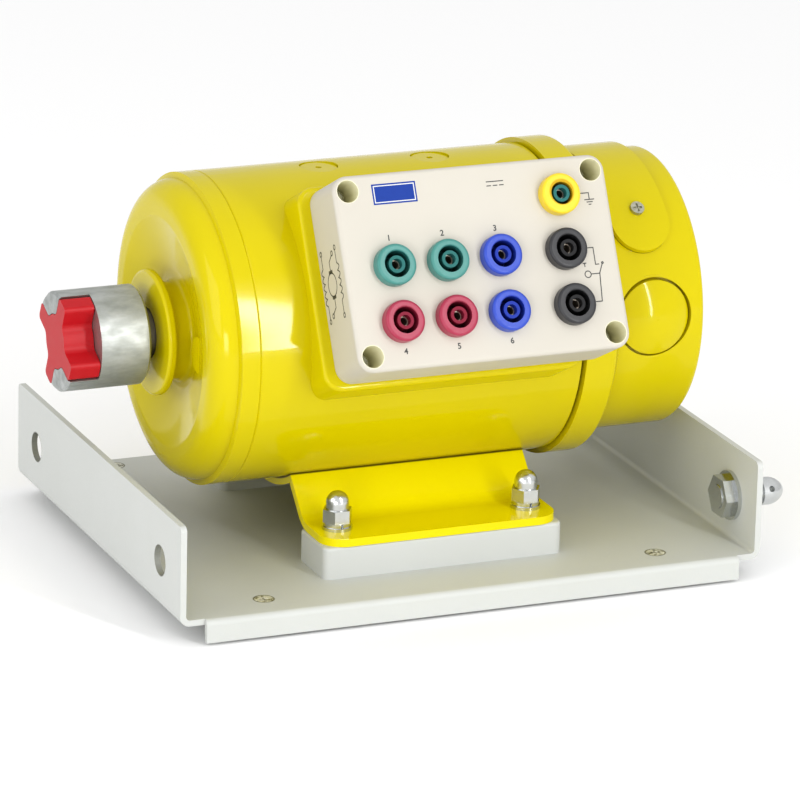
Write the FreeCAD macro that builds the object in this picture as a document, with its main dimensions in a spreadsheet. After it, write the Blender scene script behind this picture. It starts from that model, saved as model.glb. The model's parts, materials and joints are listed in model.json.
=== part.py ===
"""Demonstration electric motor: a compound-wound bench DC machine on a tray base.

X runs along the motor shaft with the coupling at -X, -Y is the front with the terminal
panel and +Z is up.  The origin is the centre of the base on the surface it stands on.
All sizes are millimetres and stand in the spreadsheet "Sizes".
"""
import FreeCAD, Part
import math
import os
import re

import Sketcher

DOC = FreeCAD.newDocument("demonstration_motor")
SHEET = DOC.addObject("Spreadsheet::Sheet", "Sizes")
NODES = []
ON_PLACE = 0.02
ON_LINE = 0.05
ON_ARC = 0.1
CLEAR_OF = 1

SIZES = (
    # tray base
    ("tray_long", "305", "tray, outside of one flange to outside of the other"),
    ("tray_wide", "243", "tray, front lip to rear lip"),
    ("tray_sheet", "3", "sheet the tray is folded from"),
    ("tray_lift", "10", "underside of the tray above the bench"),
    ("flange_high", "50", "end flange, from the tray's underside"),
    ("flange_corner", "3", "rounded upper corners of the end flanges"),
    ("bend_inner", "2", "inside radius of the folds"),
    ("lip_gap", "1.5", "front and rear lips above the bench"),
    ("lip_inset", "12.6", "end of a lip from the end of the tray"),
    ("plate_top", "=tray_lift + tray_sheet", "upper face of the tray"),
    # rubber feet under the tray
    ("pad_radius", "9", "rubber foot at the tray"),
    ("pad_taper", "1.2", "rubber foot, narrower at the bench by this much"),
    ("pad_inset_x", "49", "rubber foot from the end of the tray"),
    ("pad_inset_front", "20", "front rubber feet from the front lip"),
    ("pad_inset_rear", "12", "rear rubber feet from the rear lip"),
    ("pad_x", "=tray_long / 2 - pad_inset_x", "rubber foot from the middle"),
    ("pad_front", "=tray_wide / 2 - pad_inset_front", "front rubber feet from the middle"),
    ("pad_rear", "=tray_wide / 2 - pad_inset_rear", "rear rubber feet from the middle"),
    ("pad_screw_radius", "2.5", "screw of a rubber foot"),
    ("pad_screw_head", "4.7", "countersunk head radius, flush with the tray"),
    ("pad_screw_long", "6", "screw below the tray sheet"),
    ("slot_wide", "1", "cross slots of the small screws"),
    ("slot_deep", "0.9", "depth of those slots"),
    # docking pins and holes in the end flanges
    ("dock_pitch", "180", "between the two docking pins or holes"),
    ("dock_rise", "21.3", "docking axis above the tray"),
    ("dock_radius", "7", "docking pin"),
    ("dock_play", "0.5", "docking hole radius beyond the pin"),
    ("dock_collar", "2", "collar of a docking pin at the flange"),
    ("dock_neck", "5.5", "neck radius of a docking pin"),
    ("dock_neck_long", "12.5", "collar and neck of a docking pin"),
    ("dock_body", "4", "full-width part of a docking pin"),
    ("dock_nose", "8", "rounded nose of a docking pin"),
    ("dock_tip", "2.5", "flat tip radius of a docking pin"),
    ("dock_cross_hole", "1.5", "cross hole radius in a docking pin"),
    ("dock_hole_turn", "25", "cross hole above level at the front"),
    ("dock_ogive", "=(dock_nose ^ 2 + (dock_radius - dock_tip) ^ 2) / (2 * (dock_radius - dock_tip))",
     "arc of the nose"),
    ("dock_stud", "6", "threaded stud radius of a docking pin"),
    ("dock_stud_end", "0.5", "stud beyond its nut"),
    ("dock_washer_radius", "12.5", "washer behind a docking pin"),
    ("dock_washer_thick", "2", "washer behind a docking pin"),
    ("dock_nut_flats", "19", "across flats"),
    ("dock_nut_thick", "5.5", "nut of a docking pin"),
    ("dock_z", "=plate_top + dock_rise", "docking axis above the bench"),
    # spacer blocks and foot cradle
    ("foot_offset", "3.4", "feet off the middle of the tray, towards the coupling"),
    ("foot_x", "=-foot_offset", "middle of the feet along the shaft"),
    ("foot_pitch_x", "100", "foot bolts along the shaft"),
    ("foot_pitch_y", "140", "foot bolts across the shaft"),
    ("spacer_high", "16", "spacer block"),
    ("spacer_long", "126", "spacer block along the shaft"),
    ("spacer_wide", "34", "spacer block across the shaft"),
    ("spacer_corner", "4", "rounded upright corners of a spacer block"),
    ("spacer_edge", "1.5", "rounded upper edge of a spacer block"),
    ("foot_long", "124", "foot cradle along the shaft"),
    ("foot_reach", "87.4", "edge of the feet from the shaft"),
    ("foot_plate", "4", "plate of the foot cradle"),
    ("foot_corner", "12", "rounded corners of the feet"),
    ("saddle_angle", "29", "cradle leaves the yoke at this angle from straight down"),
    ("web_y", "56", "web meets the flat foot"),
    ("web_bend", "12", "inside radius where the web meets the foot"),
    ("shaft_height", "90", "shaft above the underside of the feet"),
    ("access_play", "2", "access hole radius beyond the head of a pole screw"),
    ("weld_gap", "0.02", "between welded faces"),
    ("foot_under", "=plate_top + spacer_high", "underside of the feet"),
    ("foot_top", "=foot_under + foot_plate", "upper face of the feet"),
    ("axis_z", "=foot_under + shaft_height", "shaft above the bench"),
    ("saddle_radius", "=yoke_radius + weld_gap", "upper face of the saddle"),
    ("saddle_y", "=saddle_radius * sin(saddle_angle)", "saddle's edge beside the shaft"),
    ("saddle_z", "=saddle_radius * cos(saddle_angle)", "saddle's edge below the shaft"),
    ("web_slope", "=atan((shaft_height - foot_plate - saddle_z) / (web_y - saddle_y))", "slope of the webs"),
    ("web_tangent", "=web_bend * tan(web_slope / 2)", "length of the bend along either face"),
    ("web_flat_y", "=web_y + web_tangent", "start of the flat foot"),
    ("web_off", "=saddle_z * cos(web_slope) - saddle_y * sin(web_slope) + foot_plate",
     "web's underside from the shaft"),
    ("web_back", "=sqrt((saddle_radius + foot_plate) ^ 2 - web_off ^ 2)",
     "along the web to the saddle's underside"),
    # foot bolts
    ("bolt_radius", "4", "foot bolt"),
    ("bolt_play", "0.5", "bolt hole radius beyond the bolt"),
    ("bolt_flats", "13", "across flats of bolt heads and acorn nuts"),
    ("bolt_head", "5.3", "bolt head"),
    ("washer_radius", "7.5", "flat washer"),
    ("washer_thick", "1.6", "flat washer"),
    ("spring_washer_radius", "6.8", "spring washer"),
    ("spring_washer_thick", "2.1", "spring washer"),
    ("spring_washer_gap", "1.2", "split in the spring washer"),
    ("nut_hex", "6.5", "hexagon of an acorn nut"),
    ("nut_dome", "5.7", "dome radius of an acorn nut"),
    ("nut_high", "15.4", "acorn nut"),
    ("nut_thread", "10", "bolt inside the acorn nut"),
    ("fit_gap", "0.05", "radial clearance of screws and bores"),
    ("run_gap", "0.05", "radial clearance of running fits"),
    ("nut_base", "=foot_top + washer_thick + spring_washer_thick", "underside of an acorn nut"),
    # yoke
    ("yoke_radius", "77", "yoke outside"),
    ("yoke_wall", "8", "yoke"),
    ("yoke_start", "97", "drive end of the yoke from the middle of the tray"),
    ("yoke_left", "=-yoke_start", "drive end of the yoke"),
    ("yoke_long", "169", "yoke"),
    ("seam_bevel", "0.5", "bevel where the drive-end shield meets the yoke"),
    ("yoke_bore", "=yoke_radius - yoke_wall", "inside of the yoke"),
    ("yoke_right", "=yoke_left + yoke_long", "commutator end of the yoke"),
    ("spigot_gap", "0.03", "spigots inside the yoke"),
    ("spigot_long", "6", "spigot of either shield"),
    # drive-end shield
    ("rim_long", "9.5", "rim flush with the yoke"),
    ("rim_step", "1", "length of the soft step behind the rim"),
    ("shoulder_radius", "74.2", "start of the rounded shoulder"),
    ("shoulder_round", "12", "radius of the shoulder"),
    ("dish_rim", "57", "dished face starts here"),
    ("dish_floor", "29", "dished face ends here"),
    ("dish_deep", "8", "depth of the dish"),
    ("dish_round", "5", "softened edges of the dish"),
    ("neck_radius", "24", "neck of the bearing boss"),
    ("neck_round", "2.5", "fillet at the root of the neck"),
    ("collar_radius", "31", "collar of the bearing boss"),
    ("collar_thick", "4.4", "collar"),
    ("collar_edge", "1.6", "rounded edges of the collar"),
    ("collar_proud", "7.2", "front of the collar beyond the foremost face of the shield"),
    ("seal_lip", "2.5", "lip of the boss in front of the seal"),
    ("spot_radius", "9", "round cast boss on the dish"),
    ("spot_proud", "3", "that boss above the dish"),
    ("spot_y", "37", "that boss in front of the shaft"),
    ("spot_z", "2", "that boss below the shaft"),
    ("seal_radius", "18", "shaft seal outside"),
    ("seal_long", "7", "shaft seal"),
    ("shaft_clear", "0.5", "shaft hole radius beyond the shaft"),
    ("shield_hub", "33", "bearing housing outside"),
    ("shield_wall", "7.5", "wall of the shields"),
    ("face_x", "=yoke_left - rim_long - rim_step - shoulder_round", "foremost face of the shield"),
    ("dish_x", "=face_x + dish_deep", "floor of the dish"),
    ("collar_face", "=face_x - collar_proud", "front of the collar"),
    ("collar_back", "=collar_face + collar_thick", "rear of the collar"),
    ("seal_x", "=collar_face + seal_lip", "front of the seal"),
    ("drive_hub_over", "2", "bearing housing beyond the bearing"),
    ("seat_gap", "0.02", "between pieces that seat on each other"),
    # bearings
    ("bearing_inset", "14.5", "drive-end bearing behind the foremost face of the shield"),
    ("drive_bearing_x", "=face_x + bearing_inset", "outer end of the drive-end bearing"),
    ("drive_bearing_radius", "26", "drive-end bearing outside"),
    ("drive_bearing_bore", "12.5", "drive-end bearing inside"),
    ("drive_bearing_wide", "15", "drive-end bearing"),
    ("drive_ball", "3.97", "drive-end ball"),
    ("bearing_depth", "16", "inner end of the commutator-end bearing from the end of the bell"),
    ("rear_bearing_x", "=bell_end - bearing_depth", "inner end of the commutator-end bearing"),
    ("rear_bearing_radius", "20", "commutator-end bearing outside"),
    ("rear_bearing_bore", "8.5", "commutator-end bearing inside"),
    ("rear_bearing_wide", "12", "commutator-end bearing"),
    ("rear_ball", "3.37", "commutator-end ball"),
    ("ball_gap", "0.06", "ball to race"),
    ("race_height", "0.5", "height of the races' lands as a share of the ball's radius"),
    ("balls_count", "8", "balls of a bearing"),
    ("drive_hub_end", "=drive_bearing_x + drive_bearing_wide + drive_hub_over", "end of the bearing housing"),
    # commutator-end shield
    ("band_radius", "79.5", "raised rim of the commutator-end shield"),
    ("band_long", "17", "end of the raised rim from the yoke"),
    ("band_gap", "1.5", "open groove between yoke and rim"),
    ("band_gap_floor", "72.5", "floor of that groove"),
    ("band_slope", "6", "rim to bell"),
    ("bell_radius", "70", "bell of the commutator-end shield"),
    ("bell_long", "69", "end of the bell from the yoke"),
    ("bell_round", "3", "rounded end of the bell"),
    ("bell_wall", "6", "wall of the bell"),
    ("bell_floor", "6.5", "end wall of the bell"),
    ("band_edge", "1.2", "softened edge of the raised rim"),
    ("bell_hub", "34", "flat boss on the end of the bell"),
    ("bell_recess", "2", "ring-shaped recess round that boss"),
    ("bell_recess_out", "52", "outside of that recess"),
    ("bell_end", "=yoke_right + bell_long", "end face of the bell"),
    # inspection caps and brush gear
    ("brush_inset", "27.5", "brushes from the end of the bell"),
    ("brush_x", "=bell_end - brush_inset", "brushes along the shaft"),
    ("brush_tilt", "4", "brush line above level at the front"),
    ("cap_radius", "18.6", "inspection cap"),
    ("cap_gap", "1.3", "gap round the cap"),
    ("cap_seat", "64", "ledge under the cap, from the shaft"),
    ("cap_side", "68.8", "edge of the dome, from the shaft"),
    ("cap_dome", "5", "height of the dome"),
    ("cap_roof", "66.5", "inner roof of the cap, from the shaft"),
    ("cap_rim_play", "0.4", "cap round the brush holder"),
    ("cap_sphere", "=(cap_radius ^ 2 + cap_dome ^ 2) / (2 * cap_dome)", "radius of the dome"),
    ("holder_radius", "15", "brush holder"),
    ("holder_start", "30", "inner end of the brush holder, from the shaft"),
    ("holder_boss", "21", "boss round the brush holder"),
    ("holder_boss_start", "52", "inner end of that boss, from the shaft"),
    ("brush_long_x", "16", "brush along the shaft"),
    ("brush_thick", "10", "brush across"),
    ("brush_top", "47", "outer end of the brush, from the shaft"),
    ("brush_air", "0.05", "brush face to the commutator"),
    ("brush_curve", "1.5", "block before its face is ground"),
    ("brush_play", "0.1", "brush in its guide"),
    ("guide_long", "19", "brush guide along the shaft"),
    ("guide_wide", "13", "brush guide across"),
    ("spring_radius", "3.6", "brush spring, middle of the wire"),
    ("spring_wire", "0.53", "half the thickness of the square spring wire"),
    ("spring_turns", "4", "turns of the brush spring"),
    # curved cover strap over the top of the bell
    ("cover_inset", "29.5", "middle of the cover strap from the end of the bell"),
    ("cover_x", "=bell_end - cover_inset", "middle of the cover strap along the shaft"),
    ("cover_tilt", "43.2", "rounded ends of the strap are centred at this angle above level"),
    ("cover_half", "15.5", "half the width of the strap, and the radius of its ends"),
    ("cover_thick", "3", "cover strap"),
    ("cover_start", "60", "inner end of the cutters of the strap, from the shaft"),
    ("cover_window", "10", "inspection window under the strap"),
    ("cover_screw_tilt", "48.5", "screw of the strap above level"),
    ("cover_screw_radius", "2", "screw of the strap"),
    ("cover_screw_head", "3.5", "head of that screw"),
    ("cover_screw_high", "1.8", "height of that head"),
    ("cover_cross", "=4 * cover_screw_head / 3", "cross slot in it"),
    ("cover_screw_deep", "8", "screw below the strap's face"),
    # tie bolts
    ("tie_radius", "3", "tie bolt"),
    ("tie_inset", "9", "tie bolts from the inside of the yoke"),
    ("tie_pitch", "=yoke_bore - tie_inset", "tie bolts from the shaft"),
    ("tie_angle", "30", "tie bolts above and below level"),
    ("tie_head", "5", "head of a tie bolt"),
    ("tie_head_high", "5.5", "head of a tie bolt"),
    ("tie_sink", "6", "counterbore of a tie bolt"),
    ("tie_boss", "6.5", "boss that takes a tie bolt"),
    ("tie_deep", "12", "tie bolt inside its boss"),
    ("tie_socket_flats", "5", "hexagon socket of a tie bolt"),
    # poles and field coils
    ("pole_inset", "88", "middle of the poles from the drive end of the yoke"),
    ("pole_x", "=yoke_left + pole_inset", "middle of the poles"),
    ("pole_long", "100", "poles along the shaft"),
    ("pole_half", "18", "half width of a pole"),
    ("pole_face", "41.5", "bore between the poles"),
    ("pole_arc", "50", "half angle of a pole shoe"),
    ("pole_tip", "46", "outside of a pole shoe's tip"),
    ("pole_screw_pitch", "59", "pole screws along the shaft"),
    ("pole_screw_radius", "5", "pole screw"),
    ("pole_screw_head", "9.3", "head of a pole screw"),
    ("pole_screw_high", "5", "head of a pole screw"),
    ("pole_screw_sink", "0.9", "head below the top of the yoke"),
    ("pole_screw_deep", "14", "pole screw inside the pole"),
    ("pole_screw_mark", "1.6", "centre mark in the head"),
    ("seat_play", "0.35", "seat radius beyond the head"),
    ("pole_screw_seat", "=yoke_radius - pole_screw_sink - pole_screw_high",
     "seat of a pole screw, from the shaft"),
    ("coil_gap", "0.5", "coil round its pole"),
    ("coil_wide", "13.5", "winding width of the field coils"),
    ("coil_corner", "8", "outer corners of the field coils"),
    ("coil_inner_corner", "1.5", "inner corners of the field coils"),
    ("series_coil_start", "46.6", "series coil from the shaft"),
    ("series_coil_high", "4.4", "series coil"),
    ("shunt_coil_high", "8.6", "shunt coil"),
    ("coil_space", "0.3", "between series and shunt coil"),
    # armature
    ("core_radius", "40", "armature core"),
    ("core_long", "102", "armature core"),
    ("core_slots", "24", "slots of the armature core"),
    ("core_slot_wide", "4.2", "slot of the armature core"),
    ("core_slot_deep", "11", "slot of the armature core"),
    ("slot_gap", "0.15", "winding inside its slot"),
    ("winding_long", "18", "end winding at the drive end"),
    ("winding_outer", "38", "end windings outside"),
    ("winding_inner", "19", "end windings inside"),
    ("winding_riser", "30", "winding where it reaches the commutator"),
    ("winding_neck", "22", "end winding before it narrows to the commutator"),
    ("winding_round", "8", "rounded end of the drive-end winding"),
    ("commutator_lead", "21.5", "inner end of the commutator from the brushes"),
    ("commutator_x", "=brush_x - commutator_lead", "inner end of the commutator"),
    ("commutator_long", "30.5", "commutator"),
    ("commutator_radius", "27", "commutator"),
    ("commutator_wall", "7", "depth of a commutator bar"),
    ("commutator_bars_count", "24", "bars of the commutator"),
    ("bar_gap", "0.8", "slot between commutator bars"),
    ("riser_long", "3", "riser of a commutator bar"),
    ("bar_turn", "=360 / commutator_bars_count - 180 * bar_gap / (pi * commutator_radius)",
     "angle of one bar"),
    # shaft
    ("shaft_radius", "12", "shaft at the coupling"),
    ("shoulder_shaft", "15.5", "shoulder behind the drive-end bearing"),
    ("shoulder_long", "11", "length of that shoulder"),
    ("core_seat", "15", "shaft inside the armature core"),
    ("hub_seat", "13", "shaft inside the commutator"),
    ("rear_relief", "10.5", "shaft before the commutator-end bearing"),
    ("shaft_end_gap", "0.5", "shaft end beyond the commutator-end bearing"),
    ("shaft_end_room", "1.5", "recess in the shield beyond that bearing"),
    ("key_wide", "8", "key"),
    ("key_high", "7", "key"),
    ("key_long", "20", "key"),
    ("key_sink", "4", "key inside the shaft"),
    # jaw coupling
    ("coupling_turn", "-20", "how far the coupling is turned at rest"),
    ("coupling_radius", "24.6", "coupling hub"),
    ("coupling_clear", "6.6", "coupling hub from the collar of the shield"),
    ("coupling_rear", "=collar_face - coupling_clear", "rear face of the coupling hub"),
    ("coupling_body", "25.6", "hub behind the jaws"),
    ("coupling_bevel", "1.2", "bevel at the rear of the hub"),
    ("jaw_long", "15.5", "jaws and spider"),
    ("jaw_bevel", "1.2", "bevel at the front of the jaws"),
    ("jaw_gap", "0.3", "spider to jaw"),
    ("spider_core", "13.4", "middle of the spider"),
    ("spider_radius", "24.1", "reach of the spider's arms"),
    ("spider_arm", "9.6", "width of a spider arm"),
    ("spider_round", "2.2", "rounded tips of the arms"),
    ("spider_root", "4", "rounded roots of the arms"),
    ("spider_back", "0.3", "spider to hub"),
    ("shaft_sink", "1.5", "shaft end inside the hub"),
    ("key_inset", "4", "key from the end of the shaft"),
    ("set_screw_radius", "3", "set screw"),
    ("set_screw_sink", "2.6", "set screw below the hub's surface"),
    ("set_screw_socket", "1.5", "hexagon socket radius"),
    ("jaw_root", "=coupling_rear - coupling_body", "root of the jaws"),
    ("jaw_face", "=jaw_root - jaw_long", "front of the jaws"),
    ("jaw_side", "=spider_arm / 2 + jaw_gap", "flank of a jaw from the middle of the arm beside it"),
    ("jaw_outer", "=sqrt(coupling_radius ^ 2 - jaw_side ^ 2)", "outer end of that flank"),
    ("jaw_inner", "=sqrt((spider_core + jaw_gap) ^ 2 - jaw_side ^ 2)", "inner end of that flank"),
    ("shaft_end", "=jaw_root + shaft_sink", "drive end of the shaft"),
    ("key_x", "=shaft_end + key_inset", "drive end of the key"),
    ("key_top", "=shaft_radius - key_sink + key_high", "outer face of the key, from the shaft"),
    # terminal pad and box, seen along the panel's own normal
    ("panel_tilt", "26.75", "panel's normal above level"),
    ("panel_x", "5.3", "middle of the terminal box along the shaft"),
    ("panel_shift", "0.6", "middle of the terminal box above the shaft's line"),
    ("pad_face", "84", "face of the terminal pad, from the shaft"),
    ("pad_shift", "8.9", "terminal pad off the middle of its box"),
    ("pad_mid", "=panel_x - pad_shift", "middle of the terminal pad along the shaft"),
    ("box_long", "141.3", "terminal box along the shaft"),
    ("box_tall", "95.3", "terminal box"),
    ("pad_shorter", "5.9", "terminal pad shorter than its box"),
    ("pad_taller", "4.7", "terminal pad taller than its box"),
    ("pad_long", "=box_long - pad_shorter", "terminal pad along the shaft"),
    ("pad_tall", "=box_tall + pad_taller", "terminal pad"),
    ("pad_corner", "9", "rounded corners of the terminal pad"),
    ("pad_edge", "2", "rounded edge of the terminal pad"),
    ("pad_start", "52", "terminal pad begins inside the yoke line"),
    ("pad_frame_x", "26.65", "end of the box to the opening of the pad"),
    ("pad_frame_y", "18.65", "side of the box to the opening of the pad"),
    ("pad_hollow_long", "=box_long - 2 * pad_frame_x", "opening of the pad"),
    ("pad_hollow_tall", "=box_tall - 2 * pad_frame_y", "opening of the pad"),
    ("box_base", "3", "base plate of the box"),
    ("box_deep", "32", "face of the panel from the pad"),
    ("box_corner", "8", "rounded corners of the box"),
    ("box_edge", "2", "rounded edge of the panel"),
    ("box_wall", "3", "wall of the box"),
    ("box_post", "15", "corner posts of the box"),
    ("well_inset_x", "7.55", "screw wells from the end of the box"),
    ("well_inset_y", "7.65", "screw wells from the side of the box"),
    ("well_x", "=box_long / 2 - well_inset_x", "screw wells from the middle"),
    ("well_y", "=box_tall / 2 - well_inset_y", "screw wells from the middle"),
    ("well_radius", "5.4", "screw well"),
    ("well_deep", "20", "floor of the wells below the panel"),
    ("base_inset_x", "19.65", "screws of the base plate from the end of the box"),
    ("base_inset_y", "13.65", "screws of the base plate from the side of the box"),
    ("base_screw_x", "=box_long / 2 - base_inset_x", "screws of the base plate from its middle"),
    ("base_screw_y", "=box_tall / 2 - base_inset_y", "screws of the base plate from its middle"),
    ("base_screw_deep", "7", "those screws inside the pad"),
    ("lead_hole", "10", "hole for the leads in the base plate"),
    ("box_screw_radius", "2", "box screw"),
    ("box_screw_head", "3.8", "head of a box screw"),
    ("box_screw_high", "2.6", "head of a box screw"),
    ("box_face", "=pad_face + box_deep", "face of the panel, from the shaft"),
    ("base_top", "=pad_face + box_base", "top of the base plate, from the shaft"),
    # 4 mm safety sockets
    ("socket_inset_left", "24.65", "first column of sockets from the end of the box"),
    ("socket_inset_right", "27.55", "last column of sockets from the end of the box"),
    ("socket_inset_low", "22.75", "lower row of sockets from the side of the box"),
    ("socket_inset_earth", "18.65", "earth socket from the side of the box"),
    ("column_share", "0.3081", "first three columns apart, as a share of the whole row"),
    ("row_share", "0.5046", "two rows apart, as a share of their height with the earth socket"),
    ("earth_shift", "0.8", "earth socket beyond the last column"),
    ("socket_left", "=socket_inset_left - box_long / 2", "first column of sockets"),
    ("socket_right", "=box_long / 2 - socket_inset_right", "last column of sockets"),
    ("socket_pitch", "=column_share * (socket_right - socket_left)", "between the first three columns"),
    ("socket_low", "=socket_inset_low - box_tall / 2", "lower row of sockets"),
    ("socket_top", "=box_tall / 2 - socket_inset_earth", "row of the earth socket"),
    ("socket_row", "=socket_low + row_share * (socket_top - socket_low)", "upper row of sockets"),
    ("socket_radius", "10", "collar of a socket"),
    ("socket_front", "=socket_radius - socket_round", "collar at its front"),
    ("socket_high", "6", "collar above the panel"),
    ("socket_round", "1.5", "height of the rounded part of the collar"),
    ("socket_curve", "=socket_round", "radius of that part"),
    ("earth_liner", "5.5", "green base inside the collar of the earth socket"),
    ("socket_well", "6.4", "annular well"),
    ("socket_well_deep", "14", "annular well"),
    ("socket_tube", "4.2", "insulated tube in the well"),
    ("socket_tube_sink", "0.6", "tube below the front of the collar"),
    ("socket_barrel", "7.8", "barrel behind the panel"),
    ("socket_barrel_long", "13", "barrel behind the panel's face"),
    ("contact_radius", "2.05", "bore for a 4 mm plug"),
    ("contact_wall", "0.55", "contact sleeve"),
    ("contact_sink", "4.5", "contact below the front of the collar"),
    ("contact_bore", "=contact_radius + contact_wall + seat_gap", "insulation round the contact"),
    ("contact_long", "19", "contact sleeve"),
    ("socket_nut_flats", "19", "across flats"),
    ("socket_nut_thick", "3", "nut behind the panel"),
)

ALIASES = {row[0] for row in SIZES}

# side of the machine, angle of its brush above level at the front
BRUSH_SIDES = (("front", "brush_tilt"), ("rear", "180 + brush_tilt"))

# node, place on the panel along the shaft and up the panel
SOCKETS = (
    ("green_socket_1", "socket_left", "socket_row"),
    ("green_socket_2", "socket_left + socket_pitch", "socket_row"),
    ("blue_socket_1", "socket_left + 2 * socket_pitch", "socket_row"),
    ("black_socket_1", "socket_right", "socket_row"),
    ("red_socket_1", "socket_left", "socket_low"),
    ("red_socket_2", "socket_left + socket_pitch", "socket_low"),
    ("blue_socket_2", "socket_left + 2 * socket_pitch", "socket_low"),
    ("black_socket_2", "socket_right", "socket_low"),
    ("earth_socket", "socket_right + earth_shift", "socket_top"),
)


# ---------------------------------------------------------------- helpers

def fill_sheet():
    """Write each size with its alias and meaning, one row each."""
    for row, (alias, value, meaning) in enumerate(SIZES, 1):
        SHEET.set(f"A{row}", alias)
        SHEET.set(f"B{row}", value)
        SHEET.setAlias(f"B{row}", alias)
        SHEET.set(f"C{row}", meaning)
    DOC.recompute()


def full(formula):
    """Name the sheet in front of every alias of a formula."""
    return re.sub(r"[A-Za-z_]\w*", lambda m: "Sizes." + m[0] if m[0] in ALIASES else m[0], formula)


def value(formula):
    """Number that a formula gives with the sizes as they stand."""
    result = SHEET.evalExpression(formula)
    return float(getattr(result, "Value", result))


def bind(thing, prop, formula):
    """Tie a property to a formula of sizes."""
    thing.setExpression(prop, full(formula))


def place(thing, x="0", y="0", z="0", turn=None):
    """Bind the position of a sub-part, and its turn about X in degrees."""
    if turn is not None:
        thing.Placement = FreeCAD.Placement(FreeCAD.Vector(), FreeCAD.Rotation(FreeCAD.Vector(1, 0, 0), 1))
        bind(thing, "Placement.Rotation.Angle", turn)
    bind(thing, "Placement.Base.x", x)
    bind(thing, "Placement.Base.y", y)
    bind(thing, "Placement.Base.z", z)


def on_shaft(thing, turn=None):
    """Put a sub-part that was drawn round X on the shaft's line."""
    place(thing, z="axis_z", turn=turn)


def facing(thing, tilt, x="0"):
    """Point a sub-part's own Z away from the shaft, tilted up from the front."""
    place(thing, x=x, z="axis_z", turn=f"90 - ({tilt})")


def new_body(label):
    """PartDesign body with a label that names its node."""
    body = DOC.addObject("PartDesign::Body", label)
    body.Label = label
    return body


def origin_item(body, role):
    """Origin plane or axis of a body, found by its role."""
    return next(item for item in body.Origin.OriginFeatures if item.Role == role)


def new_sketch(body, name, role, lift=None):
    """Sketch on one of the body's origin planes, lifted along the plane's normal."""
    sketch = body.newObject("Sketcher::SketchObject", name)
    sketch.AttachmentSupport = [(origin_item(body, role), "")]
    sketch.MapMode = "FlatFace"
    if lift is not None:
        bind(sketch, "AttachmentOffset.Base.z", lift)
    return sketch


def arc_between(start, end, radius, turn):
    """Circle arc from start to end, turn +1 counter-clockwise and -1 clockwise."""
    chord = end - start
    half = chord.Length / 2
    rise = math.sqrt(max(radius * radius - half * half, 0))
    left = FreeCAD.Vector(-chord.y, chord.x, 0).normalize()
    centre = (start + end) / 2 + left * rise * turn
    first, last = (start, end) if turn > 0 else (end, start)
    angles = [math.atan2(p.y - centre.y, p.x - centre.x) for p in (first, last)]
    return Part.ArcOfCircle(Part.Circle(centre, FreeCAD.Vector(0, 0, 1), radius), *angles)


def add_loop(sketch, corners):
    """Closed outline.  A corner is (x, y), or (x, y, radius, turn) where an arc leaves it."""
    first = sketch.GeometryCount
    points = [FreeCAD.Vector(value(c[0]), value(c[1]), 0) for c in corners]
    heads = []
    for index, corner in enumerate(corners):
        start, end = points[index], points[(index + 1) % len(corners)]
        if len(corner) > 2:
            geo = sketch.addGeometry(arc_between(start, end, value(corner[2]), corner[3]), False)
            radius = sketch.addConstraint(Sketcher.Constraint("Radius", geo, value(corner[2])))
            bind(sketch, f"Constraints[{radius}]", corner[2])
            heads.append((geo, 1, 2) if corner[3] > 0 else (geo, 2, 1))
        else:
            heads.append((sketch.addGeometry(Part.LineSegment(start, end), False), 1, 2))
    for index in range(len(corners)):
        geo, _, tail = heads[index]
        other, head, _ = heads[(index + 1) % len(corners)]
        sketch.addConstraint(Sketcher.Constraint("Coincident", geo, tail, other, head))
    for (geo, head, _), corner, point in zip(heads, corners, points):
        for kind, formula, number in (("DistanceX", corner[0], point.x), ("DistanceY", corner[1], point.y)):
            row = sketch.addConstraint(Sketcher.Constraint(kind, -1, 1, geo, head, number))
            bind(sketch, f"Constraints[{row}]", formula)
    return first


def add_circle(sketch, x, y, radius):
    """Full circle with a bound centre and radius."""
    centre = FreeCAD.Vector(value(x), value(y), 0)
    geo = sketch.addGeometry(Part.Circle(centre, FreeCAD.Vector(0, 0, 1), value(radius)), False)
    for kind, formula, number in (("DistanceX", x, centre.x), ("DistanceY", y, centre.y)):
        row = sketch.addConstraint(Sketcher.Constraint(kind, -1, 1, geo, 3, number))
        bind(sketch, f"Constraints[{row}]", formula)
    row = sketch.addConstraint(Sketcher.Constraint("Radius", geo, value(radius)))
    bind(sketch, f"Constraints[{row}]", radius)


def outline(body, name, role, *loops, lift=None):
    """Sketch of one or more closed outlines."""
    sketch = new_sketch(body, name, role, lift)
    for corners in loops:
        add_loop(sketch, corners)
    return sketch


def circles(body, name, role, centres, radius, lift=None):
    """Sketch of equal circles."""
    sketch = new_sketch(body, name, role, lift)
    for x, y in centres:
        add_circle(sketch, x, y, radius)
    return sketch


def rectangle(x, y, wide, tall):
    """Corners of a rectangle about a point."""
    signs = ((-1, -1), (1, -1), (1, 1), (-1, 1))
    return [(f"({x}) + ({i}) * ({wide}) / 2", f"({y}) + ({j}) * ({tall}) / 2") for i, j in signs]


def rounded_rectangle(x, y, wide, tall, corner):
    """Corners of a rectangle about a point, with a quarter circle at each."""
    loop = []
    for i, j, first in ((1, -1, "y"), (1, 1, "x"), (-1, 1, "y"), (-1, -1, "x")):
        edge_x, edge_y = f"({x}) + ({i}) * ({wide}) / 2", f"({y}) + ({j}) * ({tall}) / 2"
        inner_x, inner_y = f"{edge_x} - ({i}) * ({corner})", f"{edge_y} - ({j}) * ({corner})"
        level, upright = (inner_x, edge_y), (edge_x, inner_y)
        before, after = (level, upright) if first == "y" else (upright, level)
        loop += [(*before, corner, 1), after]
    return loop


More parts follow.
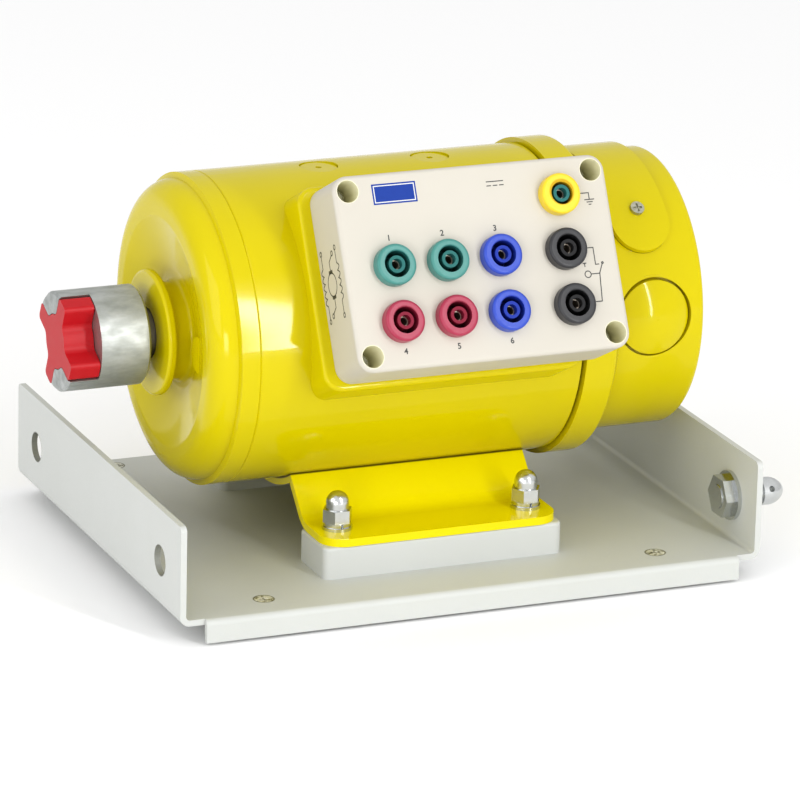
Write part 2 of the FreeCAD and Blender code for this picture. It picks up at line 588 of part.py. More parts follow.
def hexagon(x, y, flats):
    """Corners of a hexagon about a point, given across its flats."""
    reach = f"({flats}) / sqrt(3)"
    return [(f"({x}) + {reach} * cos({60 * k})", f"({y}) + {reach} * sin({60 * k})") for k in range(6)]


def plus(x, y, reach, wide):
    """Corners of a plus sign about a point."""
    long, half = f"({reach}) / 2", f"({wide}) / 2"
    quarter = ((long, half), (half, half), (half, long))
    corners = []
    for i, j, order in ((1, 1, 1), (-1, 1, -1), (-1, -1, 1), (1, -1, -1)):
        corners += [(f"({x}) + ({i}) * {u}", f"({y}) + ({j}) * {v}") for u, v in quarter[::order]]
    return corners


def pad(body, sketch, length, reverse=False, middle=False):
    """Extrude a sketch along its normal."""
    feature = body.newObject("PartDesign::Pad", sketch.Name + "_pad")
    feature.Profile = sketch
    bind(feature, "Length", length)
    feature.Reversed = reverse
    feature.SideType = "Symmetric" if middle else "One side"
    return feature


def pocket(body, sketch, length, reverse=False, middle=False):
    """Cut a sketch; the cut runs against the sketch's normal unless reversed."""
    feature = body.newObject("PartDesign::Pocket", sketch.Name + "_pocket")
    feature.Profile = sketch
    bind(feature, "Length", length)
    feature.Reversed = reverse
    feature.SideType = "Symmetric" if middle else "One side"
    return feature


def turned(body, name, *loops, role="XZ_Plane", axis="H_Axis"):
    """Revolve outlines drawn as (along, radius) round the sketch's own axis."""
    sketch = outline(body, name, role, *loops)
    feature = body.newObject("PartDesign::Revolution", name + "_turned")
    feature.Profile = sketch
    feature.ReferenceAxis = (sketch, [axis])
    feature.Angle = 360
    return feature


def ring_loop(start, end, inner, outer):
    """Outline of a plain ring between two stations along the axis."""
    return [(start, inner), (end, inner), (end, outer), (start, outer)]


def polar(body, features, count, axis="X_Axis"):
    """Repeat features round one of the body's axes."""
    feature = body.newObject("PartDesign::PolarPattern", features[0].Name + "_round")
    feature.Originals = features
    feature.Axis = (origin_item(body, axis), [""])
    feature.Angle = 360
    bind(feature, "Occurrences", count)
    body.Tip = feature
    return feature


def grid(body, features, pitch_x, pitch_y):
    """Repeat features at the corners of a rectangle."""
    feature = body.newObject("PartDesign::MultiTransform", features[0].Name + "_grid")
    feature.Originals = features
    steps = []
    for axis, pitch in (("X_Axis", pitch_x), ("Y_Axis", pitch_y)):
        step = body.newObject("PartDesign::LinearPattern", features[0].Name + "_" + axis[0].lower())
        step.Direction = (origin_item(body, axis), [""])
        bind(step, "Length", pitch)
        step.Occurrences = 2
        steps.append(step)
    feature.Transformations = steps
    body.Tip = feature
    return feature


def edges_of(feature, test):
    """Names of a feature's edges whose middle point and ends pass a test."""
    DOC.recompute()
    found = []
    for number, edge in enumerate(feature.Shape.Edges, 1):
        middle = edge.valueAt((edge.FirstParameter + edge.LastParameter) / 2)
        ends = [v.Point for v in edge.Vertexes]
        if test(middle, ends, edge):
            found.append(f"Edge{number}")
    return found


def radius_of(edge):
    """Radius of a round edge, and zero for a straight one."""
    return getattr(edge.Curve, "Radius", 0)


def rims(feature, spots):
    """Round edges about X at the given (x, radius) places."""
    wanted = [(value(x), value(r)) for x, r in spots]
    return edges_of(feature, lambda m, e, edge: any(
        near(m.x, x) and near(math.hypot(m.y, m.z), r) and near(radius_of(edge), r) for x, r in wanted))


def near(a, b, reach=ON_PLACE):
    """Whether two numbers agree."""
    return abs(a - b) < reach


def along(ends, axis):
    """Whether a straight edge runs along an axis, 0 for X, 1 for Y and 2 for Z."""
    return len(ends) == 2 and all(near(ends[0][k], ends[1][k]) for k in range(3) if k != axis)


def rounded(body, feature, edges, radius, kind="Fillet", prop="Radius"):
    """Fillet or chamfer the named edges."""
    result = body.newObject("PartDesign::" + kind, feature.Name + "_" + kind.lower())
    result.Base = (feature, edges)
    bind(result, prop if kind == "Fillet" else "Size", radius)
    body.Tip = result
    return result


def radial_cylinder(name, x, tilt, radius, start, length):
    """Cylinder that points away from the shaft."""
    rod = DOC.addObject("Part::Cylinder", name)
    bind(rod, "Radius", radius)
    bind(rod, "Height", length)
    place(rod, x=x, y=f"-({start}) * cos({tilt})", z=f"axis_z + ({start}) * sin({tilt})",
          turn=f"90 - ({tilt})")
    return rod


def shaft_cylinder(name, start, end, radius):
    """Cylinder on the shaft's line."""
    rod = DOC.addObject("Part::Cylinder", name)
    rod.Placement = FreeCAD.Placement(FreeCAD.Vector(), FreeCAD.Rotation(FreeCAD.Vector(0, 1, 0), 90))
    bind(rod, "Radius", radius)
    bind(rod, "Height", f"({end}) - ({start})")
    bind(rod, "Placement.Base.x", start)
    bind(rod, "Placement.Base.z", "axis_z")
    return rod


def combine(kind, label, base, tool):
    """Cut, fuse or intersect two shapes; base may be a list for Fuse."""
    result = DOC.addObject("Part::" + kind, label)
    result.Label = label
    if kind == "MultiFuse":
        result.Shapes = [base] + tool
    else:
        result.Base = base
        result.Tool = tool
    result.Refine = True
    return result


def fused(label, shapes):
    """One solid of several that overlap."""
    return combine("MultiFuse", label, shapes[0], shapes[1:])


def node(thing, label):
    """Register a finished sub-part under its node name."""
    thing.Label = label
    NODES.append(thing)
    return thing


# ---------------------------------------------------------------- tray base

def base_tray():
    """Folded sheet tray: two end flanges, a plate and two short downward lips."""
    body = new_body("tray_folded")
    left, right = "-tray_long / 2", "tray_long / 2"
    top = "tray_lift + flange_high"
    profile = [
        (left, "tray_lift"),
        (right, "tray_lift"),
        (right, top),
        (f"{right} - tray_sheet", top),
        (f"{right} - tray_sheet", "plate_top"),
        (f"{left} + tray_sheet", "plate_top"),
        (f"{left} + tray_sheet", top),
        (left, top),
    ]
    channel = pad(body, outline(body, "channel", "XZ_Plane", profile), "tray_wide - 2 * tray_sheet",
                  middle=True)
    edge = "tray_wide / 2"
    lips = []
    for side, turn in (("-", -1), ("", 1)):
        outer, inner = f"{side}({edge})", f"{side}({edge} - tray_sheet)"
        reach = f"{side}({edge} - 4 * tray_sheet)"
        lips.append([
            (outer, "lip_gap"),
            (outer, "tray_lift", "tray_sheet", turn),
            (inner, "plate_top"),
            (reach, "plate_top"),
            (reach, "tray_lift"),
            (inner, "tray_lift"),
            (inner, "lip_gap"),
        ])
    lip = pad(body, outline(body, "lips", "YZ_Plane", *lips), "tray_long - 2 * lip_inset", middle=True)

    half, sheet, low, high = value(right), value("tray_sheet"), value("tray_lift"), value("plate_top")
    inside = edges_of(lip, lambda m, e, _: along(e, 1) and near(abs(m.x), half - sheet) and near(m.z, high))
    inner = rounded(body, lip, inside, "bend_inner")
    outside = edges_of(inner, lambda m, e, _: along(e, 1) and near(abs(m.x), half) and near(m.z, low))
    outer = rounded(body, inner, outside, "bend_inner + tray_sheet")
    crest = value(top)
    corners = edges_of(outer, lambda m, e, _: along(e, 0) and near(m.z, crest) and abs(m.x) > half - sheet)
    rounded(body, outer, corners, "flange_corner")

    docks = circles(body, "dock_holes", "YZ_Plane",
                    [("-dock_pitch / 2", "dock_z"), ("dock_pitch / 2", "dock_z")],
                    "dock_radius + dock_play", lift=left)
    pocket(body, docks, "2 * tray_sheet", middle=True)
    studs = circles(body, "stud_holes", "YZ_Plane",
                    [("-dock_pitch / 2", "dock_z"), ("dock_pitch / 2", "dock_z")],
                    "dock_stud + dock_play", lift=right)
    pocket(body, studs, "2 * tray_sheet", middle=True)
    spots = [(f"foot_x + ({i}) * foot_pitch_x / 2",
              f"({j}) * foot_pitch_y / 2") for i in (-1, 1) for j in (-1, 1)]
    holes = circles(body, "foot_holes", "XY_Plane", spots, "bolt_radius + bolt_play", lift="plate_top")
    pocket(body, holes, "tray_sheet")
    sinks = []
    for name, spot in (("front", "-pad_front"), ("rear", "pad_rear")):
        for sign in (-1, 1):
            cone = DOC.addObject("Part::Cone", f"sink_{name}_{'left' if sign < 0 else 'right'}")
            bind(cone, "Radius1", "pad_screw_radius + fit_gap")
            bind(cone, "Radius2", "pad_screw_head + fit_gap")
            bind(cone, "Height", "tray_sheet")
            place(cone, x=f"({sign}) * pad_x", y=spot, z="tray_lift")
            sinks.append(cone)
    node(combine("Cut", "tray_finished", body, fused("pad_screw_sinks", sinks)), "base_tray")


def pad_places():
    """Places of the four rubber feet."""
    return [(f"({sign}) * pad_x", spot) for spot in ("-pad_front", "pad_rear") for sign in (-1, 1)]


def rubber_feet():
    """Tapered rubber feet with a blind hole for the screw."""
    feet = []
    for number, (x, y) in enumerate(pad_places(), 1):
        cone = DOC.addObject("Part::Cone", f"foot_{number}")
        bind(cone, "Radius1", "pad_radius - pad_taper")
        bind(cone, "Radius2", "pad_radius")
        bind(cone, "Height", "tray_lift")
        place(cone, x=x, y=y)
        hole = DOC.addObject("Part::Cylinder", f"foot_hole_{number}")
        bind(hole, "Radius", "pad_screw_radius + fit_gap")
        bind(hole, "Height", "pad_screw_long + fit_gap")
        place(hole, x=x, y=y, z="tray_lift - pad_screw_long - fit_gap")
        feet.append(combine("Cut", f"rubber_foot_{number}", cone, hole))
    group = DOC.addObject("Part::Compound", "rubber_feet")
    group.Links = feet
    node(group, "rubber_feet")


def rubber_foot_screws():
    """Countersunk screws through the tray, flush with it, with a cross slot."""
    body = new_body("screw_slots")
    heads = []
    for number, (x, y) in enumerate(pad_places(), 1):
        shank = DOC.addObject("Part::Cylinder", f"foot_screw_shank_{number}")
        bind(shank, "Radius", "pad_screw_radius")
        bind(shank, "Height", "pad_screw_long + tray_sheet")
        place(shank, x=x, y=y, z="tray_lift - pad_screw_long")
        head = DOC.addObject("Part::Cone", f"foot_screw_head_{number}")
        bind(head, "Radius1", "pad_screw_radius")
        bind(head, "Radius2", "pad_screw_head")
        bind(head, "Height", "tray_sheet")
        place(head, x=x, y=y, z="tray_lift")
        heads += [shank, head]
    crosses = [plus(x, y, "pad_screw_head", "slot_wide") for x, y in pad_places()]
    slots = outline(body, "slots", "XY_Plane", *crosses, lift="plate_top - slot_deep")
    pad(body, slots, "slot_deep")
    node(combine("Cut", "rubber_foot_screws_cut", fused("foot_screws_plain", heads), body),
         "rubber_foot_screws")


# ---------------------------------------------------------------- docking pins and holes

def at_right_flange(body, x):
    """Place a docking piece drawn round X, and repeat it for the rear one."""
    place(body, x=x, y="-dock_pitch / 2", z="dock_z")


def pair_along_y(body, features, pitch):
    """Repeat features once along Y."""
    feature = body.newObject("PartDesign::LinearPattern", features[0].Name + "_pair")
    feature.Originals = features
    feature.Direction = (origin_item(body, "Y_Axis"), [""])
    bind(feature, "Length", pitch)
    feature.Occurrences = 2
    body.Tip = feature
    return feature


def docking_pins():
    """Bullet-nosed pins with a neck, on threaded studs through the right flange."""
    body = new_body("docking_pins")
    stud = "-(tray_sheet + dock_washer_thick + dock_nut_thick + dock_stud_end)"
    neck_end = "dock_neck_long"
    body_end = f"{neck_end} + dock_body"
    pin = turned(body, "pin", [
        (stud, "0"),
        (stud, "dock_stud"),
        ("0", "dock_stud"),
        ("0", "dock_radius"),
        ("dock_collar", "dock_radius"),
        ("dock_collar", "dock_neck"),
        (neck_end, "dock_neck"),
        (neck_end, "dock_radius"),
        (body_end, "dock_radius", "dock_ogive", -1),
        (f"{body_end} + dock_nose", "dock_tip"),
        (f"{body_end} + dock_nose", "0"),
    ])
    hole = circles(body, "cross_hole", "XZ_Plane", [(body_end, "0")], "dock_cross_hole")
    hole.AttachmentOffset = FreeCAD.Placement(FreeCAD.Vector(), FreeCAD.Rotation(FreeCAD.Vector(1, 0, 0), 1))
    bind(hole, "AttachmentOffset.Rotation.Angle", "-dock_hole_turn")
    cut = pocket(body, hole, "4 * dock_radius", middle=True)
    pair_along_y(body, [pin, cut], "dock_pitch")
    at_right_flange(body, "tray_long / 2")
    node(body, "docking_pins")


def docking_pin_washers():
    """Plain washers inside the right flange."""
    body = new_body("docking_pin_washers")
    ring = turned(body, "washer",
                  ring_loop("0", "dock_washer_thick", "dock_stud + fit_gap", "dock_washer_radius"))
    pair_along_y(body, [ring], "dock_pitch")
    at_right_flange(body, "tray_long / 2 - tray_sheet - dock_washer_thick")
    node(body, "docking_pin_washers")


def docking_pin_nuts():
    """Hexagon nuts on the studs of the docking pins."""
    body = new_body("docking_pin_nuts")
    sketch = outline(body, "hexagon", "YZ_Plane", hexagon("0", "0", "dock_nut_flats"))
    add_circle(sketch, "0", "0", "dock_stud + fit_gap")
    pair_along_y(body, [pad(body, sketch, "dock_nut_thick")], "dock_pitch")
    at_right_flange(body, "tray_long / 2 - tray_sheet - dock_washer_thick - dock_nut_thick")
    node(body, "docking_pin_nuts")


# ---------------------------------------------------------------- feet of the machine

def spacer_block(label, side):
    """Painted block between the tray and one row of feet."""
    body = new_body(label)
    middle = f"({side}) * foot_pitch_y / 2"
    plan = rounded_rectangle("0", "0", "spacer_long", "spacer_wide", "spacer_corner")
    sketch = outline(body, "plan", "XY_Plane", plan)
    for sign in (-1, 1):
        add_circle(sketch, f"({sign}) * foot_pitch_x / 2", "0", "bolt_radius + bolt_play")
    block = pad(body, sketch, "spacer_high")
    top, reach = value("spacer_high"), value("bolt_radius + bolt_play")
    crown = edges_of(block, lambda m, e, edge: near(m.z, top) and not near(radius_of(edge), reach))
    rounded(body, block, crown, "spacer_edge")
    place(body, x="foot_x", y=middle, z="plate_top")
    node(body, label)


def foot_cradle():
    """One pressed plate: a saddle under the yoke, two sloping webs and two flat feet."""
    body = new_body("cradle_pressing")
    top, under = "foot_top - axis_z", "foot_under - axis_z"
    flat_y, web_y_top = "web_flat_y", "web_y - web_tangent * cos(web_slope)"
    web_z_top = f"{top} + web_tangent * sin(web_slope)"
    web_y_low = f"{web_y_top} - foot_plate * sin(web_slope)"
    web_z_low = f"{web_z_top} - foot_plate * cos(web_slope)"
    low_y = "web_back * cos(web_slope) - web_off * sin(web_slope)"
    low_z = "-(web_off * cos(web_slope) + web_back * sin(web_slope))"
    profile = [
        ("-foot_reach", under),
        (f"-({flat_y})", under, "web_bend + foot_plate", 1),
        (f"-({web_y_low})", web_z_low),
        (f"-({low_y})", low_z, "saddle_radius + foot_plate", 1),
        (low_y, low_z),
        (web_y_low, web_z_low, "web_bend + foot_plate", 1),
        (flat_y, under),
        ("foot_reach", under),
        ("foot_reach", top),
        (flat_y, top, "web_bend", -1),
        (web_y_top, web_z_top),
        ("saddle_y", "-saddle_z", "saddle_radius", -1),
        ("-saddle_y", "-saddle_z"),
        (f"-({web_y_top})", web_z_top, "web_bend", -1),
        (f"-({flat_y})", top),
        ("-foot_reach", top),
    ]
    plate = pad(body, outline(body, "profile", "YZ_Plane", profile), "foot_long", middle=True)
    reach = value("foot_reach")
    corners = edges_of(plate, lambda m, e, _: along(e, 2) and near(abs(m.y), reach))
    rounded(body, plate, corners, "foot_corner")
    spots = [(f"({i}) * foot_pitch_x / 2", f"({j}) * foot_pitch_y / 2") for i in (-1, 1) for j in (-1, 1)]
    holes = circles(body, "bolt_holes", "XY_Plane", spots, "bolt_radius + bolt_play", lift=top)
    pocket(body, holes, "foot_plate")
    spots = [(f"pole_x - foot_x + ({i}) * pole_screw_pitch / 2", "0") for i in (-1, 1)]
    access = circles(body, "access_holes", "XY_Plane", spots, "pole_screw_head + access_play",
                     lift="-saddle_z")
    pocket(body, access, "2 * yoke_radius")
    place(body, x="foot_x", z="axis_z")
    node(body, "foot_cradle")


def foot_corner_body(label):
    """Body whose origin is the front left foot bolt."""
    body = new_body(label)
    place(body, x="foot_x - foot_pitch_x / 2", y="-foot_pitch_y / 2")
    return body


def foot_bolts():
    """Hexagon bolts from below, through tray, spacer and foot."""
    body = foot_corner_body("foot_bolts")
    head = outline(body, "head", "XY_Plane", hexagon("0", "0", "bolt_flats"), lift="tray_lift - bolt_head")
    shank = circles(body, "shank", "XY_Plane", [("0", "0")], "bolt_radius", lift="tray_lift")
    features = [pad(body, head, "bolt_head"), pad(body, shank, "nut_base + nut_thread - tray_lift")]
    grid(body, features, "foot_pitch_x", "foot_pitch_y")
    node(body, "foot_bolts")


def foot_washers():
    """Flat washers on the feet."""
    body = foot_corner_body("foot_washers")
    sketch = circles(body, "washer", "XY_Plane", [("0", "0")], "washer_radius", lift="foot_top")
    add_circle(sketch, "0", "0", "bolt_radius + fit_gap")
    grid(body, [pad(body, sketch, "washer_thick")], "foot_pitch_x", "foot_pitch_y")
    node(body, "foot_washers")


def foot_spring_washers():
    """Split washers under the acorn nuts."""
    body = foot_corner_body("foot_spring_washers")
    base = "foot_top + washer_thick"
    sketch = circles(body, "ring", "XY_Plane", [("0", "0")], "spring_washer_radius", lift=base)
    add_circle(sketch, "0", "0", "bolt_radius + fit_gap")
    ring = pad(body, sketch, "spring_washer_thick")
    split = outline(body, "split", "XY_Plane",
                    rectangle("0", "-spring_washer_radius", "spring_washer_gap", "2 * spring_washer_radius"),
                    lift=f"{base} + spring_washer_thick")
    cut = pocket(body, split, "spring_washer_thick")
    grid(body, [ring, cut], "foot_pitch_x", "foot_pitch_y")
    node(body, "foot_spring_washers")


def acorn_nuts():
    """Domed cap nuts on the foot bolts."""
    body = foot_corner_body("acorn_nuts")
    hexa = pad(body, outline(body, "hexagon", "XY_Plane", hexagon("0", "0", "bolt_flats"), lift="nut_base"),
               "nut_hex")
    dome_base = "nut_base + nut_hex"
    dome = turned(body, "dome", [
        ("0", "nut_base"),
        ("nut_dome", "nut_base"),
        ("nut_dome", "nut_base + nut_high - nut_dome", "nut_dome", 1),
        ("0", "nut_base + nut_high"),
    ], axis="V_Axis")
    bore = circles(body, "bore", "XY_Plane", [("0", "0")], "bolt_radius + fit_gap",
                   lift="nut_base + nut_thread + fit_gap")
    grid(body, [hexa, dome, pocket(body, bore, dome_base)], "foot_pitch_x", "foot_pitch_y")
    node(body, "acorn_nuts")


# ---------------------------------------------------------------- yoke, poles and field coils

def pole_screw_spots():
    """Each pole screw as (x, angle above level at the front)."""
    return [(f"pole_x + ({i}) * pole_screw_pitch / 2", tilt) for tilt in ("90", "-90") for i in (-1, 1)]


def yoke():
    """Steel tube that carries the poles, with seats for the pole screws."""
    body = new_body("yoke_tube")
    turned(body, "tube", [
        ("yoke_left", "yoke_bore"),
        ("yoke_right", "yoke_bore"),
        ("yoke_right", "yoke_radius"),
        ("yoke_left + seam_bevel", "yoke_radius"),
        ("yoke_left", "yoke_radius - seam_bevel"),
    ])
    on_shaft(body)
    tools = []
    for number, (x, tilt) in enumerate(pole_screw_spots(), 1):
        tools.append(radial_cylinder(f"yoke_seat_{number}", x, tilt, "pole_screw_head + seat_play",
                                     "pole_screw_seat", "2 * yoke_wall"))
        tools.append(radial_cylinder(f"yoke_hole_{number}", x, tilt, "pole_screw_radius + fit_gap",
                                     "pole_face", "yoke_wall + yoke_radius - pole_face"))
    node(combine("Cut", "yoke", body, fused("yoke_cuts", tools)), "yoke")


def main_poles():
    """Two laminated poles with wide shoes round the armature."""
    body = new_body("pole_stacks")
    tip_y, tip_z = "sin(pole_arc)", "cos(pole_arc)"
    shoe_z = "sqrt(pole_tip ^ 2 - pole_half ^ 2)"
    seat = "(yoke_bore - seat_gap)"
    top_z = f"sqrt({seat} ^ 2 - pole_half ^ 2)"
    profile = [
        (f"pole_face * {tip_y}", f"pole_face * {tip_z}"),
        (f"pole_tip * {tip_y}", f"pole_tip * {tip_z}", "pole_tip", 1),
        ("pole_half", shoe_z),
        ("pole_half", top_z, seat, 1),
        ("-pole_half", top_z),
        ("-pole_half", shoe_z, "pole_tip", 1),
        (f"-pole_tip * {tip_y}", f"pole_tip * {tip_z}"),
        (f"-pole_face * {tip_y}", f"pole_face * {tip_z}", "pole_face", -1),
    ]
    stack = pad(body, outline(body, "lamination", "YZ_Plane", profile), "pole_long", middle=True)
    polar(body, [stack], "2")
    place(body, x="pole_x", z="axis_z")
    holes = [radial_cylinder(f"pole_tap_{number}", x, tilt, "pole_screw_radius + fit_gap",
                             "pole_screw_seat - pole_screw_deep - fit_gap", "yoke_radius")
             for number, (x, tilt) in enumerate(pole_screw_spots(), 1)]
    node(combine("Cut", "main_poles", body, fused("pole_taps", holes)), "main_poles")


def pole_screws():
    """Large flat-headed screws, just below the surface of the yoke."""
    screws = []
    for number, (x, tilt) in enumerate(pole_screw_spots(), 1):
        head = radial_cylinder(f"pole_screw_head_{number}", x, tilt, "pole_screw_head",
                               "pole_screw_seat", "pole_screw_high")
        shank = radial_cylinder(f"pole_screw_shank_{number}", x, tilt, "pole_screw_radius",
                                "pole_screw_seat - pole_screw_deep", "pole_screw_deep + pole_screw_high / 2")
        mark = radial_cylinder(f"pole_screw_mark_{number}", x, tilt, "pole_screw_mark",
                               "pole_screw_seat + pole_screw_high - pole_screw_mark", "yoke_wall")
        screws.append(combine("Cut", f"pole_screw_{number}",
                              fused(f"pole_screw_plain_{number}", [head, shank]), mark))
    group = DOC.addObject("Part::Compound", "pole_screws")
    group.Links = screws
    node(group, "pole_screws")


def field_coils(label, start, high):
    """Coil round each pole, a rounded rectangle seen from outside."""
    body = new_body(label)
    wide, long = "2 * (pole_half + coil_gap)", "pole_long + 2 * coil_gap"
    inner = rounded_rectangle("0", "0", long, wide, "coil_inner_corner")
    outer = rounded_rectangle("0", "0", f"{long} + 2 * coil_wide", f"{wide} + 2 * coil_wide", "coil_corner")
    ring = pad(body, outline(body, "plan", "XY_Plane", outer, inner, lift=start), high)
    polar(body, [ring], "2")
    place(body, x="pole_x", z="axis_z")
    node(body, label)


# ---------------------------------------------------------------- end shields

def drive_end_shield():
    """Cast shield with a round shoulder, a dished face and the bearing boss."""
    body = new_body("drive_shield_casting")
    inner_shoulder = "shoulder_radius - shield_wall"
    casting = turned(body, "casting", [
        ("yoke_left", "yoke_bore - spigot_gap"),
        ("yoke_left", "yoke_radius - seam_bevel"),
        ("yoke_left - seam_bevel", "yoke_radius"),
        ("yoke_left - rim_long", "yoke_radius"),
        ("yoke_left - rim_long - rim_step", "shoulder_radius", "shoulder_round", 1),
        ("face_x", "shoulder_radius - shoulder_round"),
        ("face_x", "dish_rim"),
        ("dish_x", "dish_floor"),
        ("dish_x", "neck_radius"),
        ("collar_back", "neck_radius"),
        ("collar_back", "collar_radius"),
        ("collar_face", "collar_radius"),
        ("collar_face", "shaft_radius + shaft_clear"),
        ("seal_x", "shaft_radius + shaft_clear"),
        ("seal_x", "seal_radius + seat_gap"),
        ("drive_bearing_x", "seal_radius + seat_gap"),
        ("drive_bearing_x", "drive_bearing_radius + seat_gap"),
        ("drive_hub_end", "drive_bearing_radius + seat_gap"),
        ("drive_hub_end", "shield_hub"),
        ("dish_x + shield_wall", "shield_hub"),
        ("face_x + shield_wall", "dish_rim"),
        ("face_x + shield_wall", "shoulder_radius - shoulder_round", "shoulder_round - shield_wall", -1),
        ("face_x + shoulder_round", inner_shoulder),
        ("yoke_left + spigot_long", inner_shoulder),
        ("yoke_left + spigot_long", "yoke_bore - spigot_gap"),
    ])
    softened = casting
    for spots, size in (
        ((("face_x", "dish_rim"), ("dish_x", "dish_floor")), "dish_round"),
        ((("dish_x", "neck_radius"), ("collar_back", "neck_radius")), "neck_round"),
        ((("collar_back", "collar_radius"), ("collar_face", "collar_radius")), "collar_edge"),
    ):
        softened = rounded(body, softened, rims(softened, spots), size)
    spot = circles(body, "cast_spot", "YZ_Plane", [("-spot_y", "-spot_z")], "spot_radius",
                   lift="dish_x - spot_proud")
    pad(body, spot, "spot_proud + shield_wall / 2")
    bosses = circles(body, "tie_bosses", "YZ_Plane", tie_spots(), "tie_boss", lift="face_x + shield_wall / 2")
    pad(body, bosses, "yoke_left - face_x - shield_wall / 2")
    taps = circles(body, "tie_taps", "YZ_Plane", tie_spots(), "tie_radius + fit_gap", lift="yoke_left")
    pocket(body, taps, "tie_deep + fit_gap")
    on_shaft(body)
    node(body, "drive_end_shield")


def shaft_seal():
    """Rubber ring in the boss of the drive-end shield."""
    body = new_body("shaft_seal")
    turned(body, "ring", ring_loop("seal_x", "seal_x + seal_long", "shaft_radius + run_gap", "seal_radius"))
    on_shaft(body)
    node(body, "shaft_seal")


def commutator_end_shield():
    """Bell-shaped casting over the commutator with openings for brushes and cover."""
    body = new_body("bell_casting")
    inside = "bell_radius - bell_wall"
    bearing_end = "rear_bearing_x + rear_bearing_wide"
    bell = turned(body, "casting", [
        ("yoke_right - spigot_long", inside),
        ("yoke_right - spigot_long", "yoke_bore - spigot_gap"),
        ("yoke_right", "yoke_bore - spigot_gap"),
        ("yoke_right", "band_gap_floor"),
        ("yoke_right + band_gap", "band_gap_floor"),
        ("yoke_right + band_gap", "band_radius"),
        ("yoke_right + band_long", "band_radius"),
        ("yoke_right + band_long + band_slope", "bell_radius"),
        ("bell_end", "bell_radius"),
        ("bell_end", "bell_recess_out"),
        ("bell_end - bell_recess", "bell_recess_out"),
        ("bell_end - bell_recess", "bell_hub"),
        ("bell_end", "bell_hub"),
        ("bell_end", "0"),
        (f"{bearing_end} + shaft_end_room", "0"),
        (f"{bearing_end} + shaft_end_room", "rear_bearing_bore + shaft_clear"),
        (bearing_end, "rear_bearing_bore + shaft_clear"),
        (bearing_end, "rear_bearing_radius + seat_gap"),
        ("rear_bearing_x", "rear_bearing_radius + seat_gap"),
        ("rear_bearing_x", "rear_bearing_radius + bell_wall"),
        ("bell_end - bell_floor", "rear_bearing_radius + bell_wall"),
        ("bell_end - bell_floor", inside),
    ])
    softened = rounded(body, bell, rims(bell, [("bell_end", "bell_radius")]), "bell_round")
    softened = rounded(body, softened, rims(softened, [("yoke_right + band_long", "band_radius")]),
                       "band_edge")
    seat = "bell_end - tie_sink"
    pads = circles(body, "tie_pads", "YZ_Plane", tie_spots(), "tie_boss", lift=f"{seat} - bell_floor")
    pad(body, pads, "bell_floor + tie_sink / 2")
    holes = circles(body, "tie_holes", "YZ_Plane", tie_spots(), "tie_radius + fit_gap", lift="bell_end")
    pocket(body, holes, "bell_long")
    sinks = circles(body, "tie_sinks", "YZ_Plane", tie_spots(), "tie_head + bolt_play", lift="bell_end")
    pocket(body, sinks, "tie_sink")
    on_shaft(body)
    bosses, cuts = [], []
    for side, tilt in BRUSH_SIDES:
        bosses.append(radial_cylinder(f"{side}_holder_boss", "brush_x", tilt, "holder_boss",
                                      "holder_boss_start", "bell_radius - bell_wall / 2 - holder_boss_start"))
        cuts.append(radial_cylinder(f"{side}_cap_seat", "brush_x", tilt, "cap_radius + cap_gap",
                                    "cap_seat", "bell_wall + band_radius - cap_seat"))
        cuts.append(radial_cylinder(f"{side}_holder_hole", "brush_x", tilt, "holder_radius + fit_gap",
                                    "holder_start", "band_radius - holder_start"))
    cuts.append(radial_cylinder("cover_opening", "cover_x", "90", "cover_window", "cover_start",
                                "cover_start"))
    cuts.append(radial_cylinder("cover_tap", "cover_x", "cover_screw_tilt", "cover_screw_radius + fit_gap",
                                "bell_radius - bell_wall", "2 * bell_wall"))
    whole = fused("bell_with_bosses", [body] + bosses)
    node(combine("Cut", "commutator_end_shield", whole, fused("bell_cuts", cuts)), "commutator_end_shield")


def tie_spots():
    """Tie bolts round the shaft, above and below level on both sides."""
    y, z = "tie_pitch * cos(tie_angle)", "tie_pitch * sin(tie_angle)"
    return [(f"({i}) * {y}", f"({j}) * {z}") for i in (-1, 1) for j in (-1, 1)]


def tie_bolts():
    """Long bolts that pull both shields against the yoke."""
    body = new_body("tie_bolts")
    end = "yoke_left - tie_deep"
    seat = "bell_end - tie_sink"
    shanks = circles(body, "shanks", "YZ_Plane", tie_spots(), "tie_radius", lift=end)
    pad(body, shanks, f"{seat} - ({end})")
    heads = circles(body, "heads", "YZ_Plane", tie_spots(), "tie_head", lift=seat)
    pad(body, heads, "tie_head_high")
    sockets = outline(body, "sockets", "YZ_Plane",
                      *[hexagon(y, z, "tie_socket_flats") for y, z in tie_spots()],
                      lift=f"{seat} + tie_head_high")
    pocket(body, sockets, "tie_head_high / 2")
    on_shaft(body)
    node(body, "tie_bolts")


# ---------------------------------------------------------------- caps, cover and brush gear

def outward_body(label, x, tilt):
    """Body whose own Z points away from the shaft."""
    body = new_body(label)
    facing(body, tilt, x)
    return body


def inspection_cap(side, tilt):
    """Domed screw cap over a brush holder."""
    label = f"{side}_inspection_cap"
    body = outward_body(label, "brush_x", tilt)
    turned(body, "cap", [
        ("0", "cap_roof"),
        ("holder_radius + cap_rim_play", "cap_roof"),
        ("holder_radius + cap_rim_play", "cap_seat"),
        ("cap_radius", "cap_seat"),
        ("cap_radius", "cap_side", "cap_sphere", 1),
        ("0", "cap_side + cap_dome"),
    ], axis="V_Axis")
    node(body, label)


